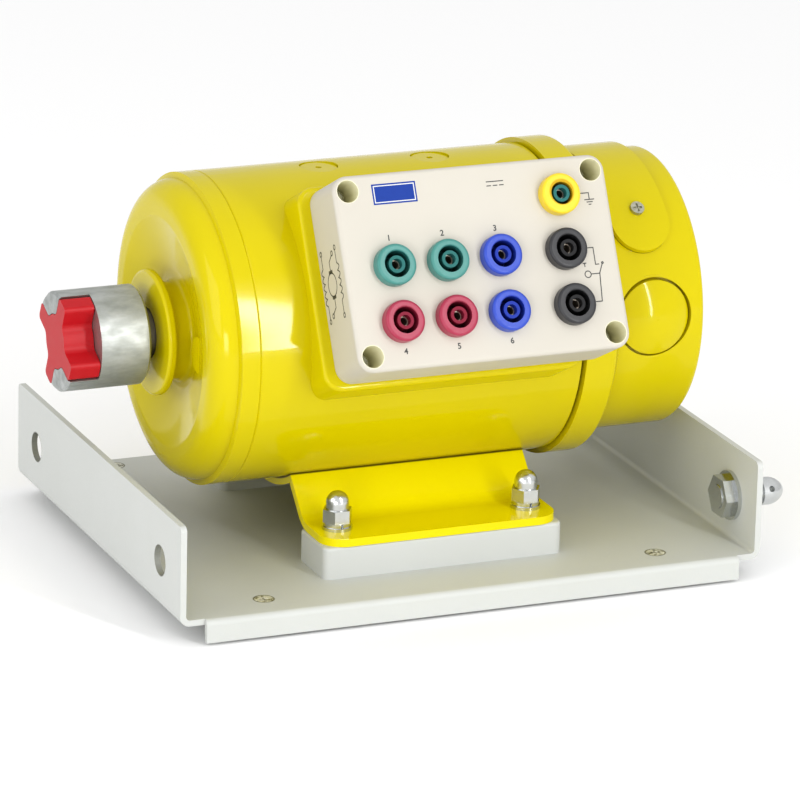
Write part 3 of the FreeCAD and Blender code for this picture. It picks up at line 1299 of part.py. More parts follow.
def brush_holders():
    """Insulating sleeves screwed into the shield, one on either side."""
    sleeves = []
    for side, tilt in BRUSH_SIDES:
        body = outward_body(f"{side}_sleeve", "brush_x", tilt)
        sleeve = circles(body, "sleeve", "XY_Plane", [("0", "0")], "holder_radius", lift="holder_start")
        add_loop(sleeve, rectangle("0", "0", "guide_long + 2 * seat_gap", "guide_wide + 2 * seat_gap"))
        pad(body, sleeve, "cap_roof - cap_rim_play - holder_start")
        sleeves.append(body)
    group = DOC.addObject("Part::Compound", "brush_holders")
    group.Links = sleeves
    node(group, "brush_holders")


def brush_guides():
    """Rectangular brass tubes that the brushes slide in."""
    tubes = []
    for side, tilt in BRUSH_SIDES:
        body = outward_body(f"{side}_guide", "brush_x", tilt)
        tube = outline(body, "tube", "XY_Plane", rectangle("0", "0", "guide_long", "guide_wide"),
                       rectangle("0", "0", "brush_long_x + 2 * brush_play", "brush_thick + 2 * brush_play"),
                       lift="holder_start")
        pad(body, tube, "cap_roof - cap_rim_play - holder_start")
        tubes.append(body)
    group = DOC.addObject("Part::Compound", "brush_guides")
    group.Links = tubes
    node(group, "brush_guides")


def brush(side, tilt):
    """Carbon brush with its inner face ground to the commutator."""
    label = f"{side}_brush"
    body = outward_body(f"{side}_brush_block", "brush_x", tilt)
    block = outline(body, "block", "XY_Plane", rectangle("0", "0", "brush_long_x", "brush_thick"),
                    lift="commutator_radius - brush_curve")
    pad(body, block, "brush_top - commutator_radius + brush_curve")
    face = shaft_cylinder(f"{side}_brush_face", "brush_x - brush_long_x", "brush_x + brush_long_x",
                          "commutator_radius + brush_air")
    node(combine("Cut", label, body, face), label)


def brush_spring(side, tilt):
    """Coil spring between a brush and its cap."""
    label = f"{side}_brush_spring"
    free = "cap_roof - brush_top - 2 * spring_wire - 2 * seat_gap"
    helix = DOC.addObject("Part::Helix", f"{side}_spring_line")
    bind(helix, "Radius", "spring_radius")
    bind(helix, "Height", free)
    bind(helix, "Pitch", f"({free}) / spring_turns")
    wire = DOC.addObject("Part::Plane", f"{side}_spring_wire")
    bind(wire, "Length", "2 * spring_wire")
    bind(wire, "Width", "2 * spring_wire")
    wire.Placement = FreeCAD.Placement(FreeCAD.Vector(), FreeCAD.Rotation(FreeCAD.Vector(1, 0, 0), 90))
    bind(wire, "Placement.Base.x", "spring_radius - spring_wire")
    bind(wire, "Placement.Base.z", "-spring_wire")
    sweep = DOC.addObject("Part::Sweep", label)
    sweep.Sections = [wire]
    sweep.Spine = (helix, ["Edge1"])
    sweep.Solid = True
    sweep.Frenet = True
    start = "(brush_top + spring_wire + seat_gap)"
    place(sweep, x="brush_x", y=f"-{start} * cos({tilt})", z=f"axis_z + {start} * sin({tilt})",
          turn=f"90 - ({tilt})")
    node(sweep, label)


def side_cover_plate():
    """Curved strap over the top of the bell, with rounded ends at front and rear."""
    arch = new_body("cover_arch")
    sector = outline(arch, "sector", "XZ_Plane",
                     ring_loop("cover_x - cover_half", "cover_x + cover_half", "cover_start",
                               "2 * cover_start"))
    bend = arch.newObject("PartDesign::Revolution", "arch_turned")
    bend.Profile = sector
    bend.ReferenceAxis = (sector, ["H_Axis"])
    bend.Midplane = True
    bind(bend, "Angle", "180 - 2 * cover_tilt")
    on_shaft(arch)
    ends = [radial_cylinder(f"cover_{side}_end", "cover_x", tilt, "cover_half", "cover_start", "cover_start")
            for side, tilt in (("front", "cover_tilt"), ("rear", "180 - cover_tilt"))]
    start, end = "cover_x - 2 * cover_half", "cover_x + 2 * cover_half"
    core = shaft_cylinder("cover_inside", start, end, "bell_radius + seat_gap")
    skin = shaft_cylinder("cover_outside", start, end, "bell_radius + cover_thick")
    strap = combine("Cut", "cover_curved",
                    combine("Common", "cover_trimmed", fused("cover_plan", [arch] + ends), skin), core)
    hole = radial_cylinder("cover_hole", "cover_x", "cover_screw_tilt", "cover_screw_radius + fit_gap",
                           "bell_radius - bell_wall", "2 * bell_wall")
    node(combine("Cut", "side_cover_plate", strap, hole), "side_cover_plate")


def side_cover_screw():
    """Cross-head screw near the front end of the cover strap."""
    seat = "(bell_radius + cover_thick)"
    shank = radial_cylinder("cover_screw_shank", "cover_x", "cover_screw_tilt", "cover_screw_radius",
                            f"{seat} - cover_screw_deep", "cover_screw_deep + cover_screw_high / 2")
    head = radial_cylinder("cover_screw_cap", "cover_x", "cover_screw_tilt", "cover_screw_head",
                           f"{seat} + seat_gap", "cover_screw_high")
    body = outward_body("cover_screw_slot", "cover_x", "cover_screw_tilt")
    slot = outline(body, "slot", "XY_Plane", plus("0", "0", "cover_cross", "slot_wide"),
                   lift=f"{seat} + seat_gap + cover_screw_high / 2")
    pad(body, slot, "cover_screw_high")
    plain = fused("cover_screw_plain", [shank, head])
    node(combine("Cut", "side_cover_screw", plain, body), "side_cover_screw")


# ---------------------------------------------------------------- bearings

def bearing_sizes(name):
    """Formulas of a bearing: start, end, middle, ball circle, groove half width and race heights."""
    start, wide = f"{name}_bearing_x", f"{name}_bearing_wide"
    outer, inner = f"{name}_bearing_radius", f"{name}_bearing_bore"
    circle = f"({outer} + {inner}) / 2"
    groove = f"({name}_ball + ball_gap)"
    return {
        "start": start,
        "end": f"{start} + {wide}",
        "middle": f"{start} + {wide} / 2",
        "outer": outer,
        "inner": inner,
        "circle": circle,
        "groove": groove,
        "half": f"sqrt({groove} ^ 2 - ({name}_ball * race_height) ^ 2)",
        "high": f"{circle} + {name}_ball * race_height",
        "low": f"{circle} - {name}_ball * race_height",
    }


def outer_race(size):
    """Outline of an outer ring with its ball groove."""
    return [
        (size["start"], size["high"]),
        (f"{size['middle']} - {size['half']}", size["high"], size["groove"], -1),
        (f"{size['middle']} + {size['half']}", size["high"]),
        (size["end"], size["high"]),
        (size["end"], size["outer"]),
        (size["start"], size["outer"]),
    ]


def inner_race(size):
    """Outline of an inner ring with its ball groove."""
    return [
        (size["start"], f"{size['inner']} + seat_gap"),
        (size["end"], f"{size['inner']} + seat_gap"),
        (size["end"], size["low"]),
        (f"{size['middle']} + {size['half']}", size["low"], size["groove"], -1),
        (f"{size['middle']} - {size['half']}", size["low"]),
        (size["start"], size["low"]),
    ]


def bearing_rings(label, race):
    """One ring of either bearing, in a shared node."""
    body = new_body(label)
    turned(body, "rings", race(bearing_sizes("drive")), race(bearing_sizes("rear")))
    on_shaft(body)
    node(body, label)


def bearing_balls():
    """Balls of both bearings."""
    balls = []
    for name in ("drive", "rear"):
        size = bearing_sizes(name)
        for number in range(int(value("balls_count"))):
            turn = f"360 * {number} / balls_count"
            ball = DOC.addObject("Part::Sphere", f"{name}_ball_{number}")
            bind(ball, "Radius", f"{name}_ball")
            place(ball, x=size["middle"], y=f"({size['circle']}) * cos({turn})",
                  z=f"axis_z + ({size['circle']}) * sin({turn})")
            balls.append(ball)
    group = DOC.addObject("Part::Compound", "bearing_balls")
    group.Links = balls
    node(group, "bearing_balls")


# ---------------------------------------------------------------- rotor

def shaft():
    """Stepped shaft with a keyway for the coupling."""
    body = new_body("shaft_turned")
    shoulder = "drive_bearing_x + drive_bearing_wide"
    turned(body, "steps", [
        ("shaft_end", "0"),
        ("shaft_end", "shaft_radius"),
        ("drive_bearing_x - seal_long / 2", "shaft_radius"),
        ("drive_bearing_x - seal_long / 2", "drive_bearing_bore"),
        (shoulder, "drive_bearing_bore"),
        (shoulder, "shoulder_shaft"),
        (f"{shoulder} + shoulder_long", "shoulder_shaft"),
        (f"{shoulder} + shoulder_long", "core_seat"),
        ("commutator_x - hub_seat / 2", "core_seat"),
        ("commutator_x - hub_seat / 2", "hub_seat"),
        ("commutator_x + commutator_long", "hub_seat"),
        ("commutator_x + commutator_long", "rear_relief"),
        ("rear_bearing_x", "rear_relief"),
        ("rear_bearing_x", "rear_bearing_bore"),
        ("rear_bearing_x + rear_bearing_wide + shaft_end_gap", "rear_bearing_bore"),
        ("rear_bearing_x + rear_bearing_wide + shaft_end_gap", "0"),
    ])
    on_shaft(body, "coupling_turn")
    tool = key_box("shaft_keyway", "key_x - seat_gap", "key_long + 2 * seat_gap", "key_wide + 2 * seat_gap",
                   "shaft_radius - key_sink - seat_gap", "2 * shaft_radius")
    node(combine("Cut", "shaft", body, tool), "shaft")


def key_box(label, x, long, wide, start, high):
    """Box beside the shaft, on the side of the key."""
    body = new_body(label)
    block = outline(body, "plan", "XZ_Plane", rectangle(f"({x}) + ({long}) / 2", "0", long, wide),
                    lift=f"-({start})")
    pad(body, block, high, reverse=True)
    on_shaft(body, "coupling_turn")
    return body


def shaft_key():
    """Key between shaft and coupling."""
    node(key_box("shaft_key", "key_x", "key_long", "key_wide", "shaft_radius - key_sink", "key_high"),
         "shaft_key")


def armature_core():
    """Slotted stack of laminations."""
    body = new_body("armature_core")
    disc = circles(body, "lamination", "YZ_Plane", [("0", "0")], "core_radius", lift="pole_x - core_long / 2")
    add_circle(disc, "0", "0", "core_seat + seat_gap")
    pad(body, disc, "core_long")
    slot = outline(body, "slot", "YZ_Plane",
                   rectangle("0", "core_radius", "core_slot_wide", "2 * core_slot_deep"),
                   lift="pole_x + core_long / 2")
    polar(body, [pocket(body, slot, "core_long")], "core_slots")
    on_shaft(body)
    node(body, "armature_core")


def armature_winding():
    """Coils in the slots and the two end windings."""
    body = new_body("armature_winding")
    start, end = "pole_x - core_long / 2", "pole_x + core_long / 2"
    far = f"{start} - seat_gap - winding_long"
    neck = f"{end} + winding_neck"
    turned(body, "drive_end", [
        (far, "winding_inner"),
        (f"{start} - seat_gap", "winding_inner"),
        (f"{start} - seat_gap", "winding_outer"),
        (f"{far} + winding_round", "winding_outer", "winding_round", 1),
        (far, "winding_outer - winding_round"),
    ])
    turned(body, "commutator_end", [
        (f"{end} + seat_gap", "winding_inner"),
        ("commutator_x - seat_gap", "winding_inner"),
        ("commutator_x - seat_gap", "winding_riser"),
        (neck, "winding_outer"),
        (f"{end} + seat_gap", "winding_outer"),
    ])
    floor = "core_radius - core_slot_deep + slot_gap"
    bar = outline(body, "bar", "YZ_Plane",
                  rectangle("0", f"({floor} + winding_outer) / 2", "core_slot_wide - 2 * slot_gap",
                            f"winding_outer - ({floor})"), lift=f"{start} - winding_long / 2")
    polar(body, [pad(body, bar, "core_long + winding_long")], "core_slots")
    on_shaft(body)
    node(body, "armature_winding")


def commutator_bars():
    """Copper bars with risers, parted by thin gaps."""
    body = new_body("commutator_bars")
    low = "commutator_radius - commutator_wall"
    sketch = outline(body, "bar", "XZ_Plane", [
        ("commutator_x", low),
        ("commutator_x + commutator_long", low),
        ("commutator_x + commutator_long", "commutator_radius"),
        ("commutator_x + riser_long", "commutator_radius"),
        ("commutator_x + riser_long", "winding_riser"),
        ("commutator_x", "winding_riser"),
    ])
    bar = body.newObject("PartDesign::Revolution", "bar_turned")
    bar.Profile = sketch
    bar.ReferenceAxis = (sketch, ["H_Axis"])
    bar.Midplane = True
    bind(bar, "Angle", "bar_turn")
    polar(body, [bar], "commutator_bars_count")
    on_shaft(body)
    node(body, "commutator_bars")


def commutator_hub():
    """Insulating hub that holds the bars on the shaft."""
    body = new_body("commutator_hub")
    turned(body, "hub", ring_loop("commutator_x", "commutator_x + commutator_long", "hub_seat + seat_gap",
                                  "commutator_radius - commutator_wall - seat_gap"))
    on_shaft(body)
    node(body, "commutator_hub")


# ---------------------------------------------------------------- jaw coupling

def coupling_hub():
    """Steel hub with two jaws, bored and keyed to the shaft."""
    body = new_body("coupling_turned")
    drum = turned(body, "drum",
                  ring_loop("jaw_root", "coupling_rear", "shaft_radius + seat_gap", "coupling_radius"))
    side = "jaw_side"
    outer_y = f"(jaw_outer - {side}) * sin(45)"
    outer_z = f"(jaw_outer + {side}) * sin(45)"
    inner_y = f"(jaw_inner - {side}) * sin(45)"
    inner_z = f"(jaw_inner + {side}) * sin(45)"
    sketch = outline(body, "jaw", "YZ_Plane", [
        (outer_y, outer_z, "coupling_radius", 1),
        (f"-{outer_y}", outer_z),
        (f"-{inner_y}", inner_z, "spider_core + jaw_gap", -1),
        (inner_y, inner_z),
    ], lift="jaw_root + jaw_bevel")
    jaw = pad(body, sketch, "jaw_long + jaw_bevel", reverse=True)
    jaws = polar(body, [jaw], "2")
    reach, back, front = value("coupling_radius"), value("coupling_rear"), value("jaw_face")
    rear = edges_of(jaws, lambda m, e, edge: near(m.x, back) and near(radius_of(edge), reach))
    beveled = rounded(body, jaws, rear, "coupling_bevel", "Chamfer")
    tips = edges_of(beveled, lambda m, e, edge: near(m.x, front) and near(radius_of(edge), reach))
    beveled = rounded(body, beveled, tips, "jaw_bevel", "Chamfer")
    core, root = value("spider_core + jaw_gap"), value("jaw_root")
    inside = edges_of(beveled, lambda m, e, edge: along(e, 0) and near(math.hypot(m.y, m.z), core, ON_ARC)
                      and m.x < root)
    rounded(body, beveled, inside, "spider_root - jaw_gap")
    on_shaft(body, "coupling_turn")
    keyway = key_box("hub_keyway", "jaw_root - jaw_bevel", "coupling_body + 2 * jaw_bevel",
                     "key_wide + 2 * seat_gap", "0", "key_top + seat_gap")
    tap = new_body("hub_tap")
    hole = circles(tap, "hole", "XZ_Plane", [("key_x + key_long / 2", "0")], "set_screw_radius + seat_gap")
    pad(tap, hole, "2 * coupling_radius", reverse=True)
    on_shaft(tap, "coupling_turn")
    node(combine("Cut", "coupling_hub", body, fused("hub_cuts", [keyway, tap])), "coupling_hub")


def coupling_set_screw():
    """Grub screw that bears on the key."""
    body = new_body("coupling_set_screw")
    top = "coupling_radius - set_screw_sink"
    rod = circles(body, "rod", "XZ_Plane", [("key_x + key_long / 2", "0")], "set_screw_radius",
                  lift="-(key_top + seat_gap)")
    pad(body, rod, f"{top} - key_top - seat_gap", reverse=True)
    socket = outline(body, "socket", "XZ_Plane", hexagon("key_x + key_long / 2", "0", "2 * set_screw_socket"),
                     lift=f"-({top})")
    pocket(body, socket, "set_screw_radius")
    on_shaft(body, "coupling_turn")
    node(body, "coupling_set_screw")


def coupling_spider():
    """Red elastic spider with four arms, two against either hub's jaws."""
    body = new_body("coupling_spider")
    start = "jaw_face"
    depth = "jaw_long - spider_back"
    pad(body, circles(body, "core", "YZ_Plane", [("0", "0")], "spider_core", lift=start), depth)
    arm = outline(body, "arm", "YZ_Plane",
                  rectangle("0", "(spider_radius + spider_core / 2) / 2", "spider_arm",
                            "spider_radius - spider_core / 2"),
                  lift=start)
    arms = polar(body, [pad(body, arm, depth)], "4")
    inner, outer = value("spider_core"), value("sqrt(spider_radius ^ 2 + spider_arm ^ 2 / 4)")
    roots = edges_of(arms, lambda m, e, edge: along(e, 0) and near(math.hypot(m.y, m.z), inner, ON_LINE))
    softened = rounded(body, arms, roots, "spider_root")
    tips = edges_of(softened, lambda m, e, edge: along(e, 0) and near(math.hypot(m.y, m.z), outer, ON_LINE))
    rounded(body, softened, tips, "spider_round")
    on_shaft(body, "coupling_turn + 45")
    node(body, "coupling_spider")


# ---------------------------------------------------------------- terminal pad, box and sockets

def panel_body(label, lift="0"):
    """Body in the panel's frame: X along the shaft, Y up the panel and Z out of it."""
    body = new_body(label)
    reach = f"({lift})"
    place(body, x="panel_x", y=f"-{reach} * cos(panel_tilt) + panel_shift * sin(panel_tilt)",
          z=f"axis_z + {reach} * sin(panel_tilt) + panel_shift * cos(panel_tilt)", turn="90 - panel_tilt")
    return body


def well_spots(x="well_x", y="well_y"):
    """Corners of a rectangle about the middle of the panel."""
    return [(f"({i}) * {x}", f"({j}) * {y}") for i in (-1, 1) for j in (-1, 1)]


def terminal_pad():
    """Raised seat for the terminal box, welded to the yoke."""
    body = panel_body("pad_block")
    plan = rounded_rectangle("pad_mid - panel_x", "-panel_shift", "pad_long", "pad_tall", "pad_corner")
    hollow = rounded_rectangle("0", "0", "pad_hollow_long", "pad_hollow_tall", "pad_corner")
    block = pad(body, outline(body, "plan", "XY_Plane", plan, hollow, lift="pad_start"),
                "pad_face - pad_start")
    top, half, tall = value("pad_face"), value("pad_hollow_long / 2"), value("pad_hollow_tall / 2")
    crown = edges_of(block, lambda m, e, _: near(m.z, top)
                     and (abs(m.x) > half + CLEAR_OF or abs(m.y) > tall + CLEAR_OF))
    rounded(body, block, crown, "pad_edge")
    screws = circles(body, "taps", "XY_Plane", well_spots("base_screw_x", "base_screw_y"),
                     "box_screw_radius + fit_gap", lift="pad_face")
    pocket(body, screws, "base_screw_deep + fit_gap")
    drum = shaft_cylinder("pad_drum", "yoke_left - yoke_long", "yoke_right + yoke_long",
                          "yoke_radius + weld_gap")
    node(combine("Cut", "terminal_pad", body, drum), "terminal_pad")


def terminal_base():
    """Plate inside the rear of the box, screwed to the pad."""
    body = panel_body("terminal_base", "pad_face + seat_gap")
    plan = rounded_rectangle("0", "0", "box_long - 2 * box_wall - 2 * fit_gap",
                             "box_tall - 2 * box_wall - 2 * fit_gap",
                             "box_corner - box_wall")
    sketch = outline(body, "plan", "XY_Plane", plan)
    for x, y in well_spots():
        add_circle(sketch, x, y, "box_screw_radius + fit_gap")
    for x, y in well_spots("base_screw_x", "base_screw_y"):
        add_circle(sketch, x, y, "box_screw_radius + fit_gap")
    add_circle(sketch, "0", "0", "lead_hole")
    pad(body, sketch, "box_base - 2 * seat_gap")
    node(body, "terminal_base")


def panel_screws(label, x, y, seat, deep):
    """Four pan-head screws in the panel's frame."""
    body = panel_body(label)
    pad(body, circles(body, "heads", "XY_Plane", well_spots(x, y), "box_screw_head",
                      lift=f"{seat} + seat_gap"),
        "box_screw_high")
    pad(body, circles(body, "shanks", "XY_Plane", well_spots(x, y), "box_screw_radius",
                      lift=f"{seat} - ({deep})"),
        f"({deep}) + box_screw_high / 2")
    slots = [plus(spot_x, spot_y, "box_screw_head", "slot_wide") for spot_x, spot_y in well_spots(x, y)]
    pocket(body, outline(body, "slots", "XY_Plane", *slots, lift=f"{seat} + seat_gap + box_screw_high"),
           "slot_deep")
    return body


def terminal_box_screws():
    """Screws of the base plate inside the box, and of the box in its corner wells."""
    group = DOC.addObject("Part::Compound", "terminal_box_screws")
    group.Links = [
        panel_screws("base_plate_screws", "base_screw_x", "base_screw_y", "base_top",
                     "box_base + base_screw_deep"),
        panel_screws("well_screws", "well_x", "well_y", "(box_face - well_deep)",
                     "box_deep - well_deep - seat_gap"),
    ]
    node(group, "terminal_box_screws")


def terminal_box():
    """Deep moulded box with screw wells in the corners and a row of socket holes."""
    body = panel_body("terminal_box")
    plan = rounded_rectangle("0", "0", "box_long", "box_tall", "box_corner")
    shell = pad(body, outline(body, "plan", "XY_Plane", plan, lift="pad_face + seat_gap"),
                "box_deep - seat_gap")
    front = value("box_face")
    crown = edges_of(shell, lambda m, e, _: near(m.z, front))
    rounded(body, shell, crown, "box_edge")
    mouth = rounded_rectangle("0", "0", "box_long - 2 * box_wall", "box_tall - 2 * box_wall",
                              "box_corner - box_wall")
    pocket(body, outline(body, "mouth", "XY_Plane", mouth, lift="base_top"), "2 * box_base")
    long, tall = "box_long / 2 - box_wall", "box_tall / 2 - box_wall"
    near_x, near_y = "well_x - box_post / 2", "well_y - box_post / 2"
    cross = [
        (long, f"-({near_y})"), (long, near_y), (near_x, near_y), (near_x, tall),
        (f"-({near_x})", tall), (f"-({near_x})", near_y), (f"-({long})", near_y),
        (f"-({long})", f"-({near_y})"),
        (f"-({near_x})", f"-({near_y})"), (f"-({near_x})", f"-({tall})"),
        (near_x, f"-({tall})"), (near_x, f"-({near_y})"),
    ]
    pocket(body, outline(body, "inside", "XY_Plane", cross, lift="box_face - box_wall"), "box_deep")
    wells = circles(body, "wells", "XY_Plane", well_spots(), "well_radius", lift="box_face")
    pocket(body, wells, "well_deep")
    screws = circles(body, "screw_holes", "XY_Plane", well_spots(), "box_screw_radius + fit_gap",
                     lift="box_face")
    pocket(body, screws, "box_deep")
    barrels = circles(body, "socket_holes", "XY_Plane", [spot for _, *spot in SOCKETS],
                      "socket_barrel + fit_gap", lift="box_face")
    pocket(body, barrels, "box_deep")
    node(body, "terminal_box")


def socket(label, x, y):
    """Shrouded 4 mm safety socket: collar, annular well, insulated tube and barrel."""
    body = panel_body(label)
    place_on_panel(body, x, y)
    turned(body, "socket", [
        ("contact_bore", "-socket_barrel_long"),
        ("socket_barrel", "-socket_barrel_long"),
        ("socket_barrel", "0"),
        ("socket_radius", "0"),
        ("socket_radius", "socket_high - socket_round", "socket_curve", 1),
        ("socket_front", "socket_high"),
        ("socket_well", "socket_high"),
        ("socket_well", "socket_high - socket_well_deep"),
        ("socket_tube", "socket_high - socket_well_deep"),
        ("socket_tube", "socket_high - socket_tube_sink"),
        ("contact_bore", "socket_high - socket_tube_sink"),
    ], axis="V_Axis")
    node(body, label)


def place_on_panel(body, x, y):
    """Move a body in the panel's frame to a spot of the panel's face."""
    up = f"(panel_shift + ({y}))"
    place(body, x=f"panel_x + ({x})", y=f"-(box_face + seat_gap) * cos(panel_tilt) + {up} * sin(panel_tilt)",
          z=f"axis_z + (box_face + seat_gap) * sin(panel_tilt) + {up} * cos(panel_tilt)",
          turn="90 - panel_tilt")


def earth_socket():
    """Earth socket: a yellow collar and, in its own node, the green insulation inside."""
    _, x, y = next(row for row in SOCKETS if row[0] == "earth_socket")
    body = new_body("earth_socket")
    place_on_panel(body, x, y)
    turned(body, "collar", [
        ("earth_liner + seat_gap", "-socket_barrel_long"),
        ("socket_barrel", "-socket_barrel_long"),
        ("socket_barrel", "0"),
        ("socket_radius", "0"),
        ("socket_radius", "socket_high - socket_round", "socket_curve", 1),
        ("socket_front", "socket_high"),
        ("earth_liner + seat_gap", "socket_high"),
    ], axis="V_Axis")
    node(body, "earth_socket")
    core = new_body("earth_socket_core")
    place_on_panel(core, x, y)
    turned(core, "core", [
        ("contact_bore", "-socket_barrel_long"),
        ("earth_liner", "-socket_barrel_long"),
        ("earth_liner", "socket_high - socket_well_deep"),
        ("socket_tube", "socket_high - socket_well_deep"),
        ("socket_tube", "socket_high - socket_tube_sink"),
        ("contact_bore", "socket_high - socket_tube_sink"),
    ], axis="V_Axis")
    node(core, "earth_socket_core")


def socket_contacts():
    """Contact sleeves of all sockets."""
    body = panel_body("socket_contacts", "box_face + seat_gap")
    top = "socket_high - contact_sink"
    sketch = new_sketch(body, "sleeves", "XY_Plane", f"{top} - contact_long")
    for _, x, y in SOCKETS:
        add_circle(sketch, x, y, "contact_radius + contact_wall")
        add_circle(sketch, x, y, "contact_radius")
    pad(body, sketch, "contact_long")
    node(body, "socket_contacts")


def socket_nuts():
    """Nuts behind the panel, one on every socket."""
    body = panel_body("socket_nuts", "box_face + seat_gap")
    sketch = new_sketch(body, "nuts", "XY_Plane", "-(box_wall + seat_gap + socket_nut_thick + fit_gap)")
    for _, x, y in SOCKETS:
        add_loop(sketch, hexagon(x, y, "socket_nut_flats"))
        add_circle(sketch, x, y, "socket_barrel + fit_gap")
    pad(body, sketch, "socket_nut_thick")
    node(body, "socket_nuts")


# ---------------------------------------------------------------- build

def main():
    """Build every sub-part, check it and write its file."""
    fill_sheet()
    base_tray()
    rubber_feet()
    rubber_foot_screws()
    docking_pins()
    docking_pin_washers()
    docking_pin_nuts()
    spacer_block("front_spacer_block", "-1")
    spacer_block("rear_spacer_block", "1")
    foot_cradle()
    foot_bolts()
    foot_washers()
    foot_spring_washers()
    acorn_nuts()
    yoke()
    main_poles()
    pole_screws()
    field_coils("series_field_coils", "series_coil_start", "series_coil_high")
    field_coils("shunt_field_coils", "series_coil_start + series_coil_high + coil_space", "shunt_coil_high")
    drive_end_shield()
    shaft_seal()
    commutator_end_shield()
    tie_bolts()
    for side, tilt in BRUSH_SIDES:
        inspection_cap(side, tilt)
        brush(side, tilt)
        brush_spring(side, tilt)
    brush_holders()
    brush_guides()
    side_cover_plate()
    side_cover_screw()
    bearing_rings("bearing_outer_rings", outer_race)
    bearing_rings("bearing_inner_rings", inner_race)
    bearing_balls()
    shaft()
    shaft_key()
    armature_core()
    armature_winding()
    commutator_bars()
    commutator_hub()
    coupling_hub()
    coupling_set_screw()
    coupling_spider()
    terminal_pad()
    terminal_base()
    terminal_box()
    terminal_box_screws()
    for label, x, y in SOCKETS:
        if label != "earth_socket":
            socket(label, x, y)
    earth_socket()
    socket_contacts()
    socket_nuts()
    DOC.recompute()
    write_parts()


def write_parts():
    """Check every object and write each node's file."""
    for thing in DOC.Objects:
        if any(mark in thing.State for mark in ("Invalid", "Error")):
            raise RuntimeError(f"{thing.Label}: {thing.State}")
    for thing in NODES:
        shape = thing.Shape
        if shape.isNull() or not shape.isValid() or not shape.Solids:
            raise RuntimeError(f"{thing.Label}: bad shape")
    os.makedirs("parts", exist_ok=True)
    for thing in NODES:
        shape = thing.Shape
        shape.exportStep(f"parts/{thing.Label}.step")
        box = shape.BoundBox
        print(f"{thing.Label:24s} solids {len(shape.Solids):2d}  volume {shape.Volume:11.1f}  "
              f"x {box.XMin:7.1f} {box.XMax:7.1f}  y {box.YMin:7.1f} {box.YMax:7.1f}  "
              f"z {box.ZMin:6.1f} {box.ZMax:6.1f}")


main()
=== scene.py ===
"""Demonstration electric motor: finishes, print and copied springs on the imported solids.

Lengths are in metres once they reach a mesh.  Sizes held by the classes are millimetres,
in the frame of the part: X along the shaft, -Y the front, +Z up, bench at zero.
"""
import json
import logging
import math
from dataclasses import dataclass, field, replace
from enum import Enum
from typing import Iterable, Sequence

import bmesh
import bpy
from mathutils import Matrix, Vector


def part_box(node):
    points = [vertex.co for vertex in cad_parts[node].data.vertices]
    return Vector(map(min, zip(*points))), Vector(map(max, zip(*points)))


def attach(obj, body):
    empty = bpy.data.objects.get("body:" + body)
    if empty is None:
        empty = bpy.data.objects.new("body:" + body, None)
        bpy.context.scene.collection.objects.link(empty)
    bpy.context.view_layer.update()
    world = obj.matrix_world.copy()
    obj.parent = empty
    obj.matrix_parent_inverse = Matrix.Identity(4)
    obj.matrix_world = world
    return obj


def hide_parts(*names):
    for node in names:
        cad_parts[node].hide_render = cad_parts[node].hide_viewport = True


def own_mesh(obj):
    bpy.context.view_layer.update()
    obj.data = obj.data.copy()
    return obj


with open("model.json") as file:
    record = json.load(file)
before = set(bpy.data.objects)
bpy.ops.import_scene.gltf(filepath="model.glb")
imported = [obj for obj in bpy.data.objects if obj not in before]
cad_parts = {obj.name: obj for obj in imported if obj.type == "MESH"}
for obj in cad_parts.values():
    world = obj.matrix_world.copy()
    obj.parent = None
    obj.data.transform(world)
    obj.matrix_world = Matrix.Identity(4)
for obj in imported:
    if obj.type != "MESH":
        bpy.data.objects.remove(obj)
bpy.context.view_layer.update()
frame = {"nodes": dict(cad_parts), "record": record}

LOG = logging.getLogger("motor")
MM = 0.001
HOUSING = "machine"

# Sizes of the solids that finishes and prints follow, in millimetres: the shaft's axis, the
# slope of the terminal box and its middle, the gap beside the band, the reach of the painted
# contact shadow on the cradle along the yoke, the strap's foot, the docking holes, the box's corner
# wells, the sockets and the cross-head screws.
AXIS_Z = 119.0
TILT = math.radians(26.75)
PANEL_UP = Vector((0, math.sin(TILT), math.cos(TILT)))
PANEL_OUT = Vector((0, -math.cos(TILT), math.sin(TILT)))
BOX_X = 5.3
BOX_RISE = 0.6
BAND_GAP = (72.75, 0.0, AXIS_Z)
BAND_GAP_FLOOR = 74.5
BAND_GAP_HALF = 1.0
CRADLE_SHADOW_REACH = 77.9
STRAP_FOOT = 70.5
DOCK_HOLE = 7.75
DOCK_HALF_PITCH = 90.0
DOCK_Z = 34.3
CORNER_WELL = 5.6
CORNER_WELL_X = 63.1
CORNER_WELL_UP = 40.0
SOCKET_WELL = 6.4
SCREW_HEAD = 4.7
SCREW_RIM = 0.6

# Half width of the soft edge of a layer that ends at a radius.
EDGE_BLEND = 0.25

# Scale at which a wave texture repeats once in each unit, its waviness and its finer layers.
WAVE_SCALE = 0.314
WAVE_BEND = 0.4
WAVE_DETAIL = 2.0

# Finer layers of a noise texture, and the strength that each keeps of the one before.
NOISE_DETAIL = 3.0
NOISE_KEEP = 0.55

# Depth in millimetres to which light enters a plastic, and its share for red, green and blue.
SCATTER_DEPTH = 1.5
SCATTER_SHARES = (1.0, 0.8, 0.6)

# Sockets of the Mix node for colours, which are not unique by name.
MIX_SHARE, MIX_FIRST, MIX_SECOND, MIX_RESULT = 0, 6, 7, 2

# Gap between a face and the print on it, in millimetres, and the corners of a printed circle.
INK_LIFT = 0.004
RING_CORNERS = 28

# Size of a font for figures one unit high, the extra weight of their strokes as a share of that
# height, and the steps between two points of their curves.
FIGURE_SCALE = 1.38
FIGURE_WEIGHT = 0.03
FIGURE_STEPS = 3


# ---------------------------------------------------------------- colour and nodes

